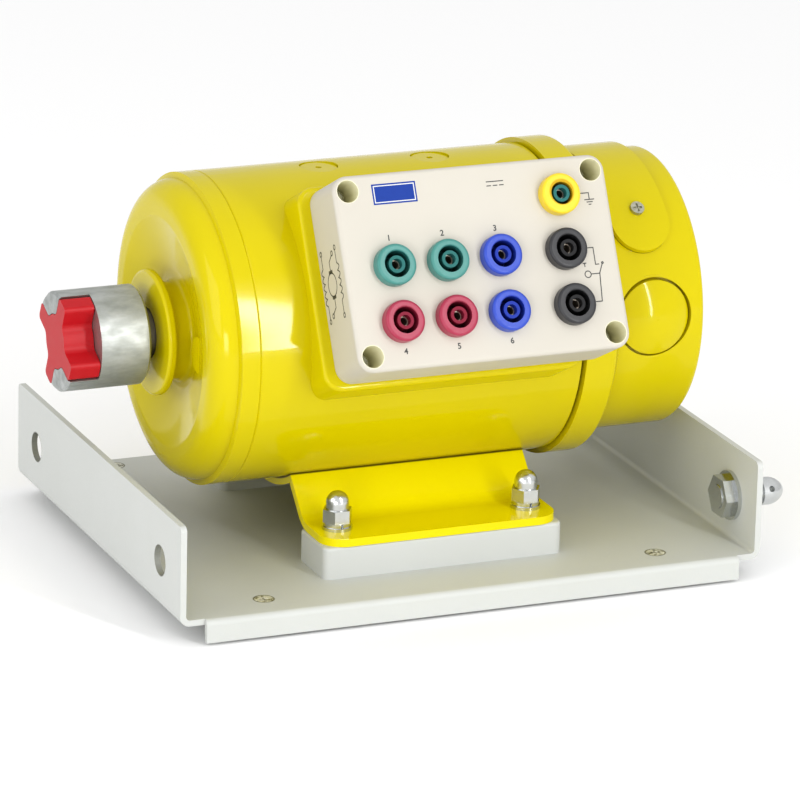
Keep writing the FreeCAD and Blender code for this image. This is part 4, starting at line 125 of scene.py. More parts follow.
def linear(shade: str) -> tuple[float, float, float, float]:
    """Turn an sRGB hex colour into linear light.

    Args:
        shade: colour such as "#f0e000".

    Returns:
        Red, green, blue and alpha.
    """
    parts = [int(shade[i:i + 2], 16) / 255 for i in (1, 3, 5)]
    light = [p / 12.92 if p <= 0.04045 else ((p + 0.055) / 1.055) ** 2.4 for p in parts]
    return (light[0], light[1], light[2], 1.0)


def add_node(tree: bpy.types.NodeTree, kind: str, feeds: dict | None = None,
             **settings: object) -> bpy.types.Node:
    """Add a shader node with its settings, values and links.

    Args:
        tree: node tree that takes the node.
        kind: Blender's name for the node, without "ShaderNode".
        feeds: value or output socket for each input, by the input's name or number.
        settings: attributes of the node.

    Returns:
        The new node.
    """
    made = tree.nodes.new("ShaderNode" + kind)
    for name, setting in settings.items():
        setattr(made, name, setting)
    for key, feed in (feeds or {}).items():
        if isinstance(feed, bpy.types.NodeSocket):
            tree.links.new(feed, made.inputs[key])
        else:
            made.inputs[key].default_value = feed
    return made


# ---------------------------------------------------------------- finishes

class Pattern(Enum):
    """Patterns that a surface can carry.

    NOISE is cloudy, CELLS are pebbles and LINES run across X.  BORE is all that lies within a
    radius of an axis, and FLOOR is the part of it within a width along that axis.
    """
    NOISE = "noise"
    CELLS = "cells"
    LINES = "lines"
    BORE = "bore"
    FLOOR = "floor"


@dataclass(frozen=True)
class Grain:
    """One layer of surface detail.

    Attributes:
        pattern: kind of detail.
        size: real spacing in millimetres, or the radius of a bore or floor.
        height: depth of the relief in millimetres.
        rough: change of roughness between low and high spots.
        tint: share of the second shade on the high spots.
        stretch: spacing along X, Y and Z as shares of size; a floor takes the first as half its
            width in millimetres.
        centre: point that a bore or floor goes round, in millimetres.
        along: direction of the axis of a bore or floor.
        shade: colour of this layer; the finish's second shade where empty.
        contrast: half width of the step between low and high spots, 0.5 for none.
    """
    pattern: Pattern
    size: float
    height: float = 0.0
    rough: float = 0.0
    tint: float = 0.0
    stretch: tuple[float, float, float] = (1.0, 1.0, 1.0)
    centre: tuple[float, float, float] = (0.0, 0.0, 0.0)
    contrast: float = 0.5
    along: tuple[float, float, float] = (1.0, 0.0, 0.0)
    shade: str = ""

    def value(self, tree: bpy.types.NodeTree, spot: bpy.types.NodeSocket) -> bpy.types.NodeSocket:
        """Add the nodes of this layer.

        Args:
            tree: tree of the material.
            spot: place on the surface, in metres.

        Returns:
            Socket that runs from 0 on low spots to 1 on high ones.
        """
        if self.pattern in (Pattern.BORE, Pattern.FLOOR):
            return self.bore(tree, spot)
        scale = [1 / (self.size * MM * share) for share in self.stretch]
        shift = [-c * MM * s for c, s in zip(self.centre, scale)]
        feeds = {"Vector": spot, "Scale": scale, "Location": shift}
        mapped = add_node(tree, "Mapping", feeds).outputs[0]
        if self.pattern is Pattern.NOISE:
            feeds = {"Vector": mapped, "Scale": 1.0, "Detail": NOISE_DETAIL, "Roughness": NOISE_KEEP}
            source = add_node(tree, "TexNoise", feeds).outputs[0]
        elif self.pattern is Pattern.CELLS:
            feeds = {"Vector": mapped, "Scale": 1.0}
            source = add_node(tree, "TexVoronoi", feeds, feature="SMOOTH_F1").outputs[0]
        else:
            feeds = {"Vector": mapped, "Scale": WAVE_SCALE, "Distortion": WAVE_BEND,
                     "Detail": WAVE_DETAIL}
            made = add_node(tree, "TexWave", feeds, wave_type="BANDS", bands_direction="X")
            source = made.outputs["Fac"]
        if self.contrast < 0.5:
            low, high = 0.5 - self.contrast, 0.5 + self.contrast
            source = add_node(tree, "MapRange", {0: source, 1: low, 2: high}).outputs[0]
        return source

    def bore(self, tree: bpy.types.NodeTree, spot: bpy.types.NodeSocket) -> bpy.types.NodeSocket:
        """Add the nodes of a layer that lies within a radius of an axis.

        Args:
            tree: tree of the material.
            spot: place on the surface, in metres.

        Returns:
            Socket that is 1 inside the radius, and for a floor only within its width as well.
        """
        middle = [c * MM for c in self.centre]
        arm = add_node(tree, "VectorMath", {0: spot, 1: middle}, operation="SUBTRACT").outputs[0]
        feeds = {0: arm, 1: self.along}
        side = add_node(tree, "VectorMath", feeds, operation="CROSS_PRODUCT").outputs[0]
        reach = add_node(tree, "VectorMath", {0: side}, operation="LENGTH").outputs["Value"]
        near, far = (self.size - EDGE_BLEND) * MM, (self.size + EDGE_BLEND) * MM
        inside = add_node(tree, "MapRange", {0: reach, 1: near, 2: far, 3: 1.0, 4: 0.0}).outputs[0]
        if self.pattern is Pattern.BORE:
            return inside
        depth = add_node(tree, "VectorMath", feeds, operation="DOT_PRODUCT").outputs["Value"]
        off = add_node(tree, "Math", {0: depth}, operation="ABSOLUTE").outputs[0]
        near, far = (self.stretch[0] - EDGE_BLEND) * MM, (self.stretch[0] + EDGE_BLEND) * MM
        beside = add_node(tree, "MapRange", {0: off, 1: near, 2: far, 3: 1.0, 4: 0.0}).outputs[0]
        return add_node(tree, "Math", {0: inside, 1: beside}, operation="MULTIPLY").outputs[0]


@dataclass(frozen=True)
class Finish:
    """Surface of one real material.

    Attributes:
        title: name of the material.
        shade: main colour in sRGB.
        second: colour of its stains, high spots or wear.
        roughness: mean roughness.
        metallic: 1 for bare metal.
        ior: index of refraction of the surface.
        coat: weight of a clear or glossy top layer.
        coat_rough: roughness of that layer.
        specular: strength of the reflection at right angles, 0.5 for what the index gives.
        scatter: share of light that spreads inside the material.
        grains: layers of detail, coarse ones first.
    """
    title: str
    shade: str
    second: str
    roughness: float
    metallic: float = 0.0
    ior: float = 1.5
    coat: float = 0.0
    coat_rough: float = 0.1
    specular: float = 0.5
    scatter: float = 0.0
    grains: tuple[Grain, ...] = ()

    def build(self) -> bpy.types.Material:
        """Make the material.

        Returns:
            The material, ready for a slot.
        """
        made = bpy.data.materials.new(self.title)
        made.use_nodes = True
        made.diffuse_color = linear(self.shade)
        tree = made.node_tree
        shader = tree.nodes["Principled BSDF"]
        shader.inputs["Metallic"].default_value = self.metallic
        shader.inputs["IOR"].default_value = self.ior
        shader.inputs["Coat Weight"].default_value = self.coat
        shader.inputs["Coat Roughness"].default_value = self.coat_rough
        shader.inputs["Specular IOR Level"].default_value = self.specular
        if self.scatter:
            shader.inputs["Subsurface Weight"].default_value = self.scatter
            shader.inputs["Subsurface Radius"].default_value = SCATTER_SHARES
            shader.inputs["Subsurface Scale"].default_value = SCATTER_DEPTH * MM
        spot = add_node(tree, "TexCoord").outputs["Object"]
        colour, rough, normal = linear(self.shade), self.roughness, None
        for grain in self.grains:
            high = grain.value(tree, spot)
            if grain.tint:
                feeds = {0: high, 1: grain.tint}
                share = add_node(tree, "Math", feeds, operation="MULTIPLY").outputs[0]
                stain = linear(grain.shade or self.second)
                feeds = {MIX_SHARE: share, MIX_FIRST: colour, MIX_SECOND: stain}
                colour = add_node(tree, "Mix", feeds, data_type="RGBA").outputs[MIX_RESULT]
            if grain.rough:
                feeds = {0: high, 1: grain.rough, 2: rough}
                rough = add_node(tree, "Math", feeds, operation="MULTIPLY_ADD").outputs[0]
            if grain.height:
                feeds = {"Height": high, "Distance": grain.height * MM, "Strength": 1.0}
                if normal is not None:
                    feeds["Normal"] = normal
                normal = add_node(tree, "Bump", feeds).outputs[0]
        for name, feed in (("Base Color", colour), ("Roughness", rough), ("Normal", normal)):
            if isinstance(feed, bpy.types.NodeSocket):
                tree.links.new(feed, shader.inputs[name])
            elif feed is not None:
                shader.inputs[name].default_value = feed
        return made


def corner_rims(name: str, head: float, rim: float) -> tuple[Grain, ...]:
    """Painted shade in rims round four screws.

    Args:
        name: node of the screws, whose box touches all four heads.
        head: radius of a head in millimetres.
        rim: width of the rim in millimetres.

    Returns:
        One layer for each screw.
    """
    (left, front, _), (right, back, _) = [[side / MM for side in corner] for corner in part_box(name)]
    spots = [(x, y, 0.0) for x in (left + head, right - head) for y in (front + head, back - head)]
    # Painted shade: a dark ring round each screw head stands in for the shade at its edge.
    painted_rim_shade = Grain(Pattern.BORE, head + rim, tint=0.9, along=(0.0, 0.0, 1.0), shade="#5b5838")
    return tuple(replace(painted_rim_shade, centre=spot) for spot in spots)


# Spraying, blasting, turning and grinding leave marks less than 0.2 mm apart, too fine to show.
# The finest layer of each finish is drawn coarser, 0.3 to 0.8 mm apart, so that it still breaks up
# the gloss.  Orange peel, stains, tape and wire are at their real spacing.

# Machine enamel, sprayed over cast iron and rolled steel: a glossy skin with faint orange peel
# over the long swell of the casting beneath it, and painted shade that darkens the floor of the
# gap beside the band.
ENAMEL = Finish(
    "machine enamel, sprayed", "#cdbe00", "#baaa00", 0.15,
    coat=0.45, coat_rough=0.08, specular=0.06,
    grains=(
        Grain(Pattern.NOISE, 38, tint=0.3, rough=0.03),
        Grain(Pattern.NOISE, 9, height=0.04),
        Grain(Pattern.CELLS, 1.1, height=0.006, rough=0.05),
        # Painted shade: the enamel on the floor of the gap beside the band is tinted almost black.
        Grain(Pattern.FLOOR, BAND_GAP_FLOOR, tint=0.95, rough=0.4, centre=BAND_GAP,
              stretch=(BAND_GAP_HALF, 1, 1), shade="#2a2410"),
    ))

# Polyester powder coat, oven cured: satin, with the pebbled skin that powder leaves.
POWDER_COAT = Finish(
    "powder coat, oven cured", "#c6c8c5", "#b4b7b2", 0.42,
    grains=(
        Grain(Pattern.NOISE, 46, tint=0.35, rough=0.06),
        Grain(Pattern.CELLS, 1.4, height=0.02, rough=0.08),
        Grain(Pattern.NOISE, 0.5, height=0.004),
    ))

# Bright zinc, plated on turned or pressed steel: mirror-like, bluish and milky in patches.
ZINC = Finish(
    "zinc plate, bright", "#d4d6d6", "#aeb1b0", 0.14, metallic=1.0,
    grains=(
        Grain(Pattern.NOISE, 4, tint=0.5, rough=0.14),
        Grain(Pattern.NOISE, 0.35, height=0.003, rough=0.06),
    ))

# Yellow chromate over plated zinc on small cross-head screws: pale straw with dark patches where
# the driver and dirt have worn it.
CHROMATE = Finish(
    "zinc with yellow chromate", "#fbfaec", "#57542c", 0.26, metallic=0.3,
    grains=(
        Grain(Pattern.NOISE, 2.0, tint=0.9, rough=0.1, contrast=0.12),
        Grain(Pattern.NOISE, 0.3, height=0.004),
    ))

# Zinc plate on a screw that has been worked with a greasy driver: dull, with dark smears.
GREASY_STEEL = Finish(
    "zinc plate, worn", "#d2d1c0", "#6b6a55", 0.3, metallic=0.8,
    grains=(
        Grain(Pattern.NOISE, 1.4, tint=0.8, rough=0.12),
        Grain(Pattern.NOISE, 0.3, height=0.01),
    ))

# Cast aluminium, turned outside: cloudy grey skin with small pits and feed marks.
CAST_ALUMINIUM = Finish(
    "cast aluminium, turned", "#c4c7c6", "#8f9390", 0.4, metallic=1.0,
    grains=(
        Grain(Pattern.NOISE, 5, tint=0.55, rough=0.16, contrast=0.2, stretch=(2.6, 1.0, 1.0)),
        Grain(Pattern.CELLS, 2.2, height=0.05, tint=0.15),
        Grain(Pattern.NOISE, 0.5, height=0.015, rough=0.1),
    ))

# Polyurethane, cast: saturated and waxy, with a soft sheen and paler scuffs.
POLYURETHANE = Finish(
    "polyurethane, cast", "#ae0d18", "#c42a34", 0.34, scatter=0.1, specular=0.35,
    grains=(
        Grain(Pattern.NOISE, 5, tint=0.35, rough=0.12),
        Grain(Pattern.NOISE, 0.8, height=0.015),
    ))

# Polycarbonate, moulded in a spark-eroded mould: cream, with a fine matt grain.
BOX_MOULDING = Finish(
    "polycarbonate, moulded", "#c4bfb4", "#b9b4a8", 0.42, ior=1.58,
    grains=(
        Grain(Pattern.NOISE, 40, tint=0.5, rough=0.05),
        Grain(Pattern.NOISE, 0.55, height=0.012, rough=0.06),
    ))


def polyamide(title: str, shade: str, second: str) -> Finish:
    """Finish of a moulded socket in one colour.

    Args:
        title: name of the material.
        shade: main colour.
        second: colour of its faint clouding.

    Returns:
        The finish.
    """
    return Finish(title, shade, second, 0.27, ior=1.53, scatter=0.05, specular=0.4, grains=(
        Grain(Pattern.NOISE, 6, tint=0.4, rough=0.08),
        Grain(Pattern.NOISE, 0.5, height=0.006),
    ))


# Polyamide sockets, moulded: semi-gloss, faintly clouded, with a little light inside.
SOCKET_GREEN = polyamide("polyamide, moulded green", "#46857e", "#5d9a93")
SOCKET_RED = polyamide("polyamide, moulded red", "#9c2b47", "#b25266")
SOCKET_BLUE = polyamide("polyamide, moulded blue", "#2f4ab0", "#4860c0")
SOCKET_BLACK = polyamide("polyamide, moulded black", "#333335", "#4a4a4d")
SOCKET_YELLOW = polyamide("polyamide, moulded yellow", "#e3c524", "#e8cf50")

# Nitrile rubber, moulded: almost black, dry and dusty.
RUBBER = Finish(
    "nitrile rubber, moulded", "#242424", "#3a3936", 0.72,
    grains=(
        Grain(Pattern.NOISE, 7, tint=0.5, rough=0.1),
        Grain(Pattern.NOISE, 0.6, height=0.02),
    ))

# Carbon steel shaft, turned and oiled: dark straw with feed rings, drawn 0.6 mm apart to be seen.
TURNED_STEEL = Finish(
    "carbon steel, turned", "#8d8a84", "#5d564b", 0.3, metallic=1.0,
    grains=(
        Grain(Pattern.NOISE, 8, tint=0.6, rough=0.1),
        Grain(Pattern.LINES, 0.6, height=0.004, rough=0.08),
    ))

# Bearing steel, ground: hard mirror with grinding lines, drawn 0.3 mm apart to be seen.
GROUND_STEEL = Finish(
    "bearing steel, ground", "#c2c4c6", "#9fa2a4", 0.14, metallic=1.0,
    grains=(
        Grain(Pattern.NOISE, 5, tint=0.3, rough=0.06),
        Grain(Pattern.LINES, 0.3, height=0.001, rough=0.05),
    ))

# Electrical sheet, stamped and stacked: 0.5 mm sheets whose edges show as fine lines, drawn 1 mm
# apart to be seen.
SHEET_STACK = Finish(
    "electrical sheet, stacked", "#7d7f80", "#55504a", 0.42, metallic=1.0,
    grains=(
        Grain(Pattern.NOISE, 9, tint=0.5, rough=0.1),
        Grain(Pattern.LINES, 1.0, height=0.06, tint=0.35),
    ))

# Cotton tape over a winding, varnished: amber gloss, with a step every 7 mm where the tape
# overlaps.
TAPED_COIL = Finish(
    "cotton tape, varnished", "#8a5a2c", "#5c3a1a", 0.36, coat=0.3,
    grains=(
        Grain(Pattern.LINES, 7, height=0.25, tint=0.3),
        Grain(Pattern.NOISE, 0.8, height=0.05, tint=0.4, rough=0.15),
    ))

# Enamelled copper wire, wound: ribbed by strands about 1 mm thick under a brown lacquer.
WOUND_COPPER = Finish(
    "copper wire, wound", "#b4622d", "#6f3415", 0.28, metallic=0.9, coat=0.4,
    grains=(
        Grain(Pattern.NOISE, 6, tint=0.5, rough=0.1),
        Grain(Pattern.LINES, 1.1, height=0.25, tint=0.3, stretch=(1.0, 1.4, 1.4)),
    ))

# Hard copper, turned: bright track with brown brush film and feed rings, drawn 0.5 mm apart to be
# seen.
BAR_COPPER = Finish(
    "hard copper, turned", "#c98257", "#8a4c2e", 0.24, metallic=1.0,
    grains=(
        Grain(Pattern.NOISE, 5, tint=0.6, rough=0.12),
        Grain(Pattern.LINES, 0.5, height=0.005, rough=0.08),
    ))

# Cartridge brass, turned: warm yellow, dulled in spots by handling.
TURNED_BRASS = Finish(
    "brass, turned", "#c7a860", "#8f7440", 0.28, metallic=1.0,
    grains=(
        Grain(Pattern.NOISE, 3, tint=0.5, rough=0.12),
        Grain(Pattern.NOISE, 0.4, height=0.004),
    ))

# Brass tube of a socket, turned and nickel plated: warm grey, with the brass showing in spots.
PLATED_BRASS = Finish(
    "brass, nickel plated", "#d8d2c4", "#a08878", 0.38, metallic=1.0,
    grains=(
        Grain(Pattern.NOISE, 1.5, tint=0.8, rough=0.15, contrast=0.2),
        Grain(Pattern.NOISE, 0.4, height=0.004),
    ))

# Phenolic resin with cotton filler, pressed: brown with lighter fibres.
PHENOLIC = Finish(
    "phenolic resin, pressed", "#4d2d18", "#6d4526", 0.38,
    grains=(
        Grain(Pattern.NOISE, 1.5, tint=0.7, rough=0.1, stretch=(3.0, 1.0, 1.0)),
        Grain(Pattern.NOISE, 0.5, height=0.01),
    ))

# Electrographite, pressed and ground: soft black with a grey shine.
GRAPHITE = Finish(
    "electrographite, ground", "#2b2b2d", "#47474a", 0.5,
    grains=(
        Grain(Pattern.NOISE, 1.2, tint=0.6, rough=0.15),
        Grain(Pattern.NOISE, 0.3, height=0.01),
    ))

# Steel sheet, cold rolled and zinc plated: satin grey with a grain along the rolling.
PLATED_SHEET = Finish(
    "steel sheet, zinc plated", "#b9bcbd", "#9a9d9c", 0.34, metallic=1.0,
    grains=(
        Grain(Pattern.NOISE, 10, tint=0.5, rough=0.12),
        Grain(Pattern.NOISE, 0.5, height=0.004, stretch=(6.0, 1.0, 1.0)),
    ))

# Screen ink, printed and baked: thin, slightly raised and matt, a little uneven from the mesh.
INK_BLACK = Finish(
    "screen ink, black", "#3a3b3a", "#5a5b58", 0.5,
    grains=(Grain(Pattern.NOISE, 0.7, tint=0.6, rough=0.1, height=0.01),))
INK_BLUE = Finish(
    "screen ink, blue", "#213f90", "#2b4a9c", 0.42, specular=0.15,
    grains=(
        Grain(Pattern.NOISE, 2.5, tint=0.5, rough=0.1),
        Grain(Pattern.NOISE, 0.5, height=0.006),
    ))
INK_WHITE = Finish(
    "screen ink, white", "#d8d8d4", "#c4c4c0", 0.5,
    grains=(Grain(Pattern.NOISE, 0.7, tint=0.5, rough=0.1, height=0.01),))

# Background paper, rolled out flat: matt and almost evenly white.
BACKGROUND_PAPER = Finish(
    "background paper", "#fafafa", "#fcfcfc", 0.9, grains=(Grain(Pattern.NOISE, 400, tint=0.3),))

# Finish of each material slot of the solids.
SLOT_FINISHES = {
    "tray_paint": POWDER_COAT,
    "rubber": RUBBER,
    "zinc_steel": ZINC,
    "yellow_enamel": ENAMEL,
    "laminations": SHEET_STACK,
    "taped_coils": TAPED_COIL,
    "copper": BAR_COPPER,
    "bearing_steel": GROUND_STEEL,
    "phenolic": PHENOLIC,
    "carbon": GRAPHITE,
    "brass": TURNED_BRASS,
    "box_plastic": BOX_MOULDING,
    "base_plate_steel": PLATED_SHEET,
    "socket_green": SOCKET_GREEN,
    "socket_red": SOCKET_RED,
    "socket_blue": SOCKET_BLUE,
    "socket_black": SOCKET_BLACK,
    "socket_yellow": SOCKET_YELLOW,
    "shaft_steel": TURNED_STEEL,
    "coupling_aluminium": CAST_ALUMINIUM,
    "spider_red": POLYURETHANE,
}

# The same enamel on the cradle, with painted light and shadow: a lighter shade that stands in for
# light on the cradle, and a painted contact shadow, a dark line along the yoke.
CRADLE_ENAMEL_PAINTED_LIGHT_AND_SHADOW = replace(
    ENAMEL, title="machine enamel, along a weld", shade="#e4d600", second="#d2c400",
    grains=ENAMEL.grains + (
        # Painted contact shadow: the cradle within this radius of the axis, next to the yoke, is
        # darkened.
        Grain(Pattern.BORE, CRADLE_SHADOW_REACH, tint=0.9, rough=0.3, centre=(0, 0, AXIS_Z), shade="#3a300c"),
    ))

# The same enamel, sprayed over the strap: glossy above, with painted shade at its foot next to the
# bell.
STRAP_ENAMEL_PAINTED_SHADE = replace(
    ENAMEL, title="machine enamel, strap edge",
    grains=ENAMEL.grains + (
        # Painted shade: the strap near the bell is tinted dark olive.
        Grain(Pattern.BORE, STRAP_FOOT, tint=0.8, rough=0.3, centre=(0, 0, AXIS_Z),
              shade="#4a4008"),
    ))

# Polycarbonate at the corner wells of the box, with painted light that makes the wells paler.
BOX_MOULDING_PAINTED_LIGHT = replace(
    BOX_MOULDING, title="polycarbonate, moulded, thin wells",
    grains=BOX_MOULDING.grains + tuple(
        # Painted light: a pale cream colour inside each corner well.
        Grain(Pattern.BORE, CORNER_WELL, tint=0.82, along=tuple(PANEL_OUT), shade="#f4f1cc",
              centre=tuple(Vector((BOX_X + side * CORNER_WELL_X, 0, AXIS_Z))
                           + PANEL_UP * (BOX_RISE + rise * CORNER_WELL_UP)))
        for side in (-1, 1) for rise in (-1, 1)))

# Powder coat, drilled after coating: grey steel shows at the docking holes, and painted shade
# makes dark rims round the countersunk screws.
DRILLED_COAT_SCREW_SHADE = replace(
    POWDER_COAT, title="powder coat, drilled",
    grains=POWDER_COAT.grains + tuple(
        Grain(Pattern.BORE, DOCK_HOLE, tint=0.85, centre=(0, side * DOCK_HALF_PITCH, DOCK_Z),
              shade="#6f7067")
        for side in (-1, 1)) + corner_rims("rubber_foot_screws", SCREW_HEAD, SCREW_RIM))

# Nodes whose finish differs from that of their slot.
NODE_FINISHES = {
    "armature_winding": WOUND_COPPER,
    "rubber_foot_screws": CHROMATE,
    "foot_cradle": CRADLE_ENAMEL_PAINTED_LIGHT_AND_SHADOW,
    "base_tray": DRILLED_COAT_SCREW_SHADE,
    "side_cover_screw": GREASY_STEEL,
    "socket_contacts": PLATED_BRASS,
    "terminal_box": BOX_MOULDING_PAINTED_LIGHT,
    "side_cover_plate": STRAP_ENAMEL_PAINTED_SHADE,
}

# Painted shade inside each socket's collar, by the last word of its finish.
SOCKET_WELL_SHADES = {
    "green": "#256a67",
    "red": "#7e1230",
    "blue": "#15339a",
    "black": "#18181a",
    "yellow": "#c09a00",
}


class Paintshop:
    """Makes each finish once and puts it on solids and pieces."""

    def __init__(self) -> None:
        """Start with no material made."""
        self.made: dict[str, bpy.types.Material] = {}

    def material(self, finish: Finish) -> bpy.types.Material:
        """Give the material of a finish.

        Args:
            finish: what the surface is made of.

        Returns:
            The material, made on first use.
        """
        if finish.title not in self.made:
            self.made[finish.title] = finish.build()
        return self.made[finish.title]

    def paint(self, piece: bpy.types.Object, finish: Finish) -> None:
        """Put a finish in every material slot of a piece.

        Args:
            piece: solid or mesh.
            finish: what its surface is made of.
        """
        if not piece.material_slots:
            piece.data.materials.append(None)
        for place in piece.material_slots:
            place.material = self.material(finish)

    def recessed(self, name: str, finish: Finish) -> Finish:
        """Paint shade on a socket inside its collar.

        Args:
            name: node of the socket.
            finish: finish of its plastic.

        Returns:
            The finish with painted shade and more roughness inside.
        """
        low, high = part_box(name)
        middle = tuple((a + b) / 2 / MM for a, b in zip(low, high))
        # Painted shade: the socket's plastic within the well's radius is darkened.
        well_shade = Grain(Pattern.BORE, SOCKET_WELL, tint=0.95, rough=0.35, centre=middle,
                     along=tuple(PANEL_OUT), shade=SOCKET_WELL_SHADES[finish.title.split()[-1]])
        return replace(finish, title=f"{finish.title}, {name}", grains=finish.grains + (well_shade,))

    def dress_solids(self) -> None:
        """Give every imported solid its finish."""
        for row in frame["record"]["subparts"]:
            name, slot = row["node"], row["material_slot"]
            finish = NODE_FINISHES.get(name, SLOT_FINISHES[slot])
            if "socket" in name and slot.startswith("socket_"):
                finish = self.recessed(name, finish)
            self.paint(frame["nodes"][name], finish)
            LOG.info("solid %s: %s", name, finish.title)


# ---------------------------------------------------------------- meshes

def link_piece(name: str, mesh: bmesh.types.BMesh) -> bpy.types.Object:
    """Turn a mesh under construction into a flat-shaded piece that rides on the housing.

    Args:
        name: name of the piece.
        mesh: geometry in metres; freed here.

    Returns:
        The linked object.
    """
    bmesh.ops.recalc_face_normals(mesh, faces=mesh.faces)
    data = bpy.data.meshes.new(name)
    mesh.to_mesh(data)
    mesh.free()
    data.polygons.foreach_set("use_smooth", [False] * len(data.polygons))
    piece = bpy.data.objects.new(name, data)
    bpy.context.scene.collection.objects.link(piece)
    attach(piece, HOUSING)
    LOG.info("piece %s: %d faces", name, len(data.polygons))
    return piece


def extrude_outline(mesh: bmesh.types.BMesh, outline: Sequence[Vector], lift: Vector) -> None:
    """Add a prism on a flat outline.

    Args:
        mesh: mesh that takes the prism.
        outline: corners in order, in metres.
        lift: from the outline to the opposite face.
    """
    lower = [mesh.verts.new(point) for point in outline]
    upper = [mesh.verts.new(point + lift) for point in outline]
    mesh.faces.new(lower)
    mesh.faces.new(list(reversed(upper)))
    count = len(outline)
    for i in range(count):
        mesh.faces.new((lower[i], lower[(i + 1) % count], upper[(i + 1) % count], upper[i]))


# A place on a face, and a line through such places, in millimetres from the face's middle.
Spot = tuple[float, float]
Line = tuple[Spot, ...]


@dataclass
class Sheet:
    """Flat face of the part on which something is printed.

    Attributes:
        origin: middle of the face in millimetres.
        right: direction that a reader calls right.
        up: direction that a reader calls up.
        ink: thickness of a print in millimetres.
        tight: least cosine of half the turn at a corner, which keeps a sharp mitre short.
    """
    origin: Vector
    right: Vector
    up: Vector
    ink: float = 0.03
    tight: float = 0.35

    @property
    def normal(self) -> Vector:
        """Direction out of the face."""
        return self.right.cross(self.up)

    def point(self, x: float, y: float, lift: float = INK_LIFT) -> Vector:
        """Place on the face, in metres.

        Args:
            x: millimetres to the right of the middle.
            y: millimetres above the middle.
            lift: millimetres off the face.

        Returns:
            The point in the frame of the part.
        """
        return (self.origin + self.right * x + self.up * y + self.normal * lift) * MM

    def print_shape(self, mesh: bmesh.types.BMesh, corners: Iterable[Spot],
                    lift: float = INK_LIFT) -> None:
        """Print a closed shape.

        Args:
            mesh: mesh that takes the print.
            corners: corners in order, in millimetres on the face.
            lift: millimetres off the face.
        """
        outline = [self.point(x, y, lift) for x, y in corners]
        extrude_outline(mesh, outline, self.normal * self.ink * MM)

    def print_line(self, mesh: bmesh.types.BMesh, spots: Sequence[Spot], width: float,
                   lift: float = INK_LIFT) -> None:
        """Print a line with mitred corners.

        Args:
            mesh: mesh that takes the print.
            spots: points along the line, in millimetres on the face.
            width: width of the line in millimetres.
            lift: millimetres off the face.
        """
        closed = spots[0] == spots[-1]
        points = [Vector((x, y)) for x, y in (spots[:-1] if closed else spots)]
        count = len(points)
        left, right = [], []
        for i, point in enumerate(points):
            before = points[i - 1] if i or closed else None
            after = points[(i + 1) % count] if i < count - 1 or closed else None
            come = (after - point if before is None else point - before).normalized()
            leave = (after - point).normalized() if after is not None else come
            side = Vector((-come.y - leave.y, come.x + leave.x)).normalized()
            reach = width / 2 / max(side.dot(Vector((-come.y, come.x))), self.tight)
            left.append(point + side * reach)
            right.append(point - side * reach)
        steps = count if closed else count - 1
        for i in range(steps):
            j = (i + 1) % count
            self.print_shape(mesh, [tuple(p) for p in (left[i], right[i], right[j], left[j])], lift)

    def print_ring(self, mesh: bmesh.types.BMesh, x: float, y: float, radius: float,
                   width: float) -> None:
        """Print a circle.

        Args:
            mesh: mesh that takes the print.
            x: middle, in millimetres.
            y: middle, in millimetres.
            radius: radius of the line's middle.
            width: width of the line.
        """
        turns = [math.tau * i / RING_CORNERS for i in range(RING_CORNERS)]
        spots = [(x + radius * math.cos(a), y + radius * math.sin(a)) for a in turns]
        self.print_line(mesh, spots + spots[:1], width)

    def print_text(self, mesh: bmesh.types.BMesh, text: str, x: float, y: float,
                   high: float) -> None:
        """Print plain figures with their middle at a spot.

        Args:
            mesh: mesh that takes the print.
            text: figures to print.
            x: middle, in millimetres.
            y: middle, in millimetres.
            high: height of a figure.
        """
        curve = bpy.data.curves.new("figure", "FONT")
        curve.body = text
        curve.align_x = "CENTER"
        curve.align_y = "CENTER"
        curve.size = high * FIGURE_SCALE
        curve.offset = high * FIGURE_WEIGHT
        curve.extrude = self.ink / 2
        curve.resolution_u = FIGURE_STEPS
        carrier = bpy.data.objects.new("figure", curve)
        shape = bpy.data.meshes.new_from_object(carrier)
        turn = Matrix((self.right, self.up, self.normal)).transposed().to_4x4()
        place = Matrix.Translation(self.point(x, y, self.ink / 2 + INK_LIFT))
        shape.transform(place @ turn @ Matrix.Scale(MM, 4))
        mesh.from_mesh(shape)
        bpy.data.meshes.remove(shape)
        bpy.data.objects.remove(carrier)
        bpy.data.curves.remove(curve)


# ---------------------------------------------------------------- brush springs

@dataclass
class BrushSprings:
    """Coil springs copied from the packed ones onto the housing.

    Attributes:
        tilt: angle above the level of the brushes' axis, which rises to the front, in degrees; not
            used.
        travel: distance that a brush slides, in millimetres; not used.
    """
    tilt: float = 4.0
    travel: float = 6.0

    def build(self, shop: Paintshop) -> None:
        """Put a copy of each packed spring in its place, and hide the packed one.

        Args:
            shop: source of the steel.
        """
        slots = {row["node"]: row["material_slot"] for row in frame["record"]["subparts"]}
        for side, sign in (("front", 1), ("rear", -1)):
            node = f"{side}_brush_spring"
            mesh = bmesh.new()
            mesh.from_mesh(frame["nodes"][node].data)
            bmesh.ops.transform(mesh, matrix=frame["nodes"][node].matrix_world, verts=mesh.verts)
            coil = link_piece(f"{side}_spring_coil", mesh)
            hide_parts(node)
            shop.paint(coil, SLOT_FINISHES[slots[node]])
            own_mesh(coil)


# ---------------------------------------------------------------- terminal box

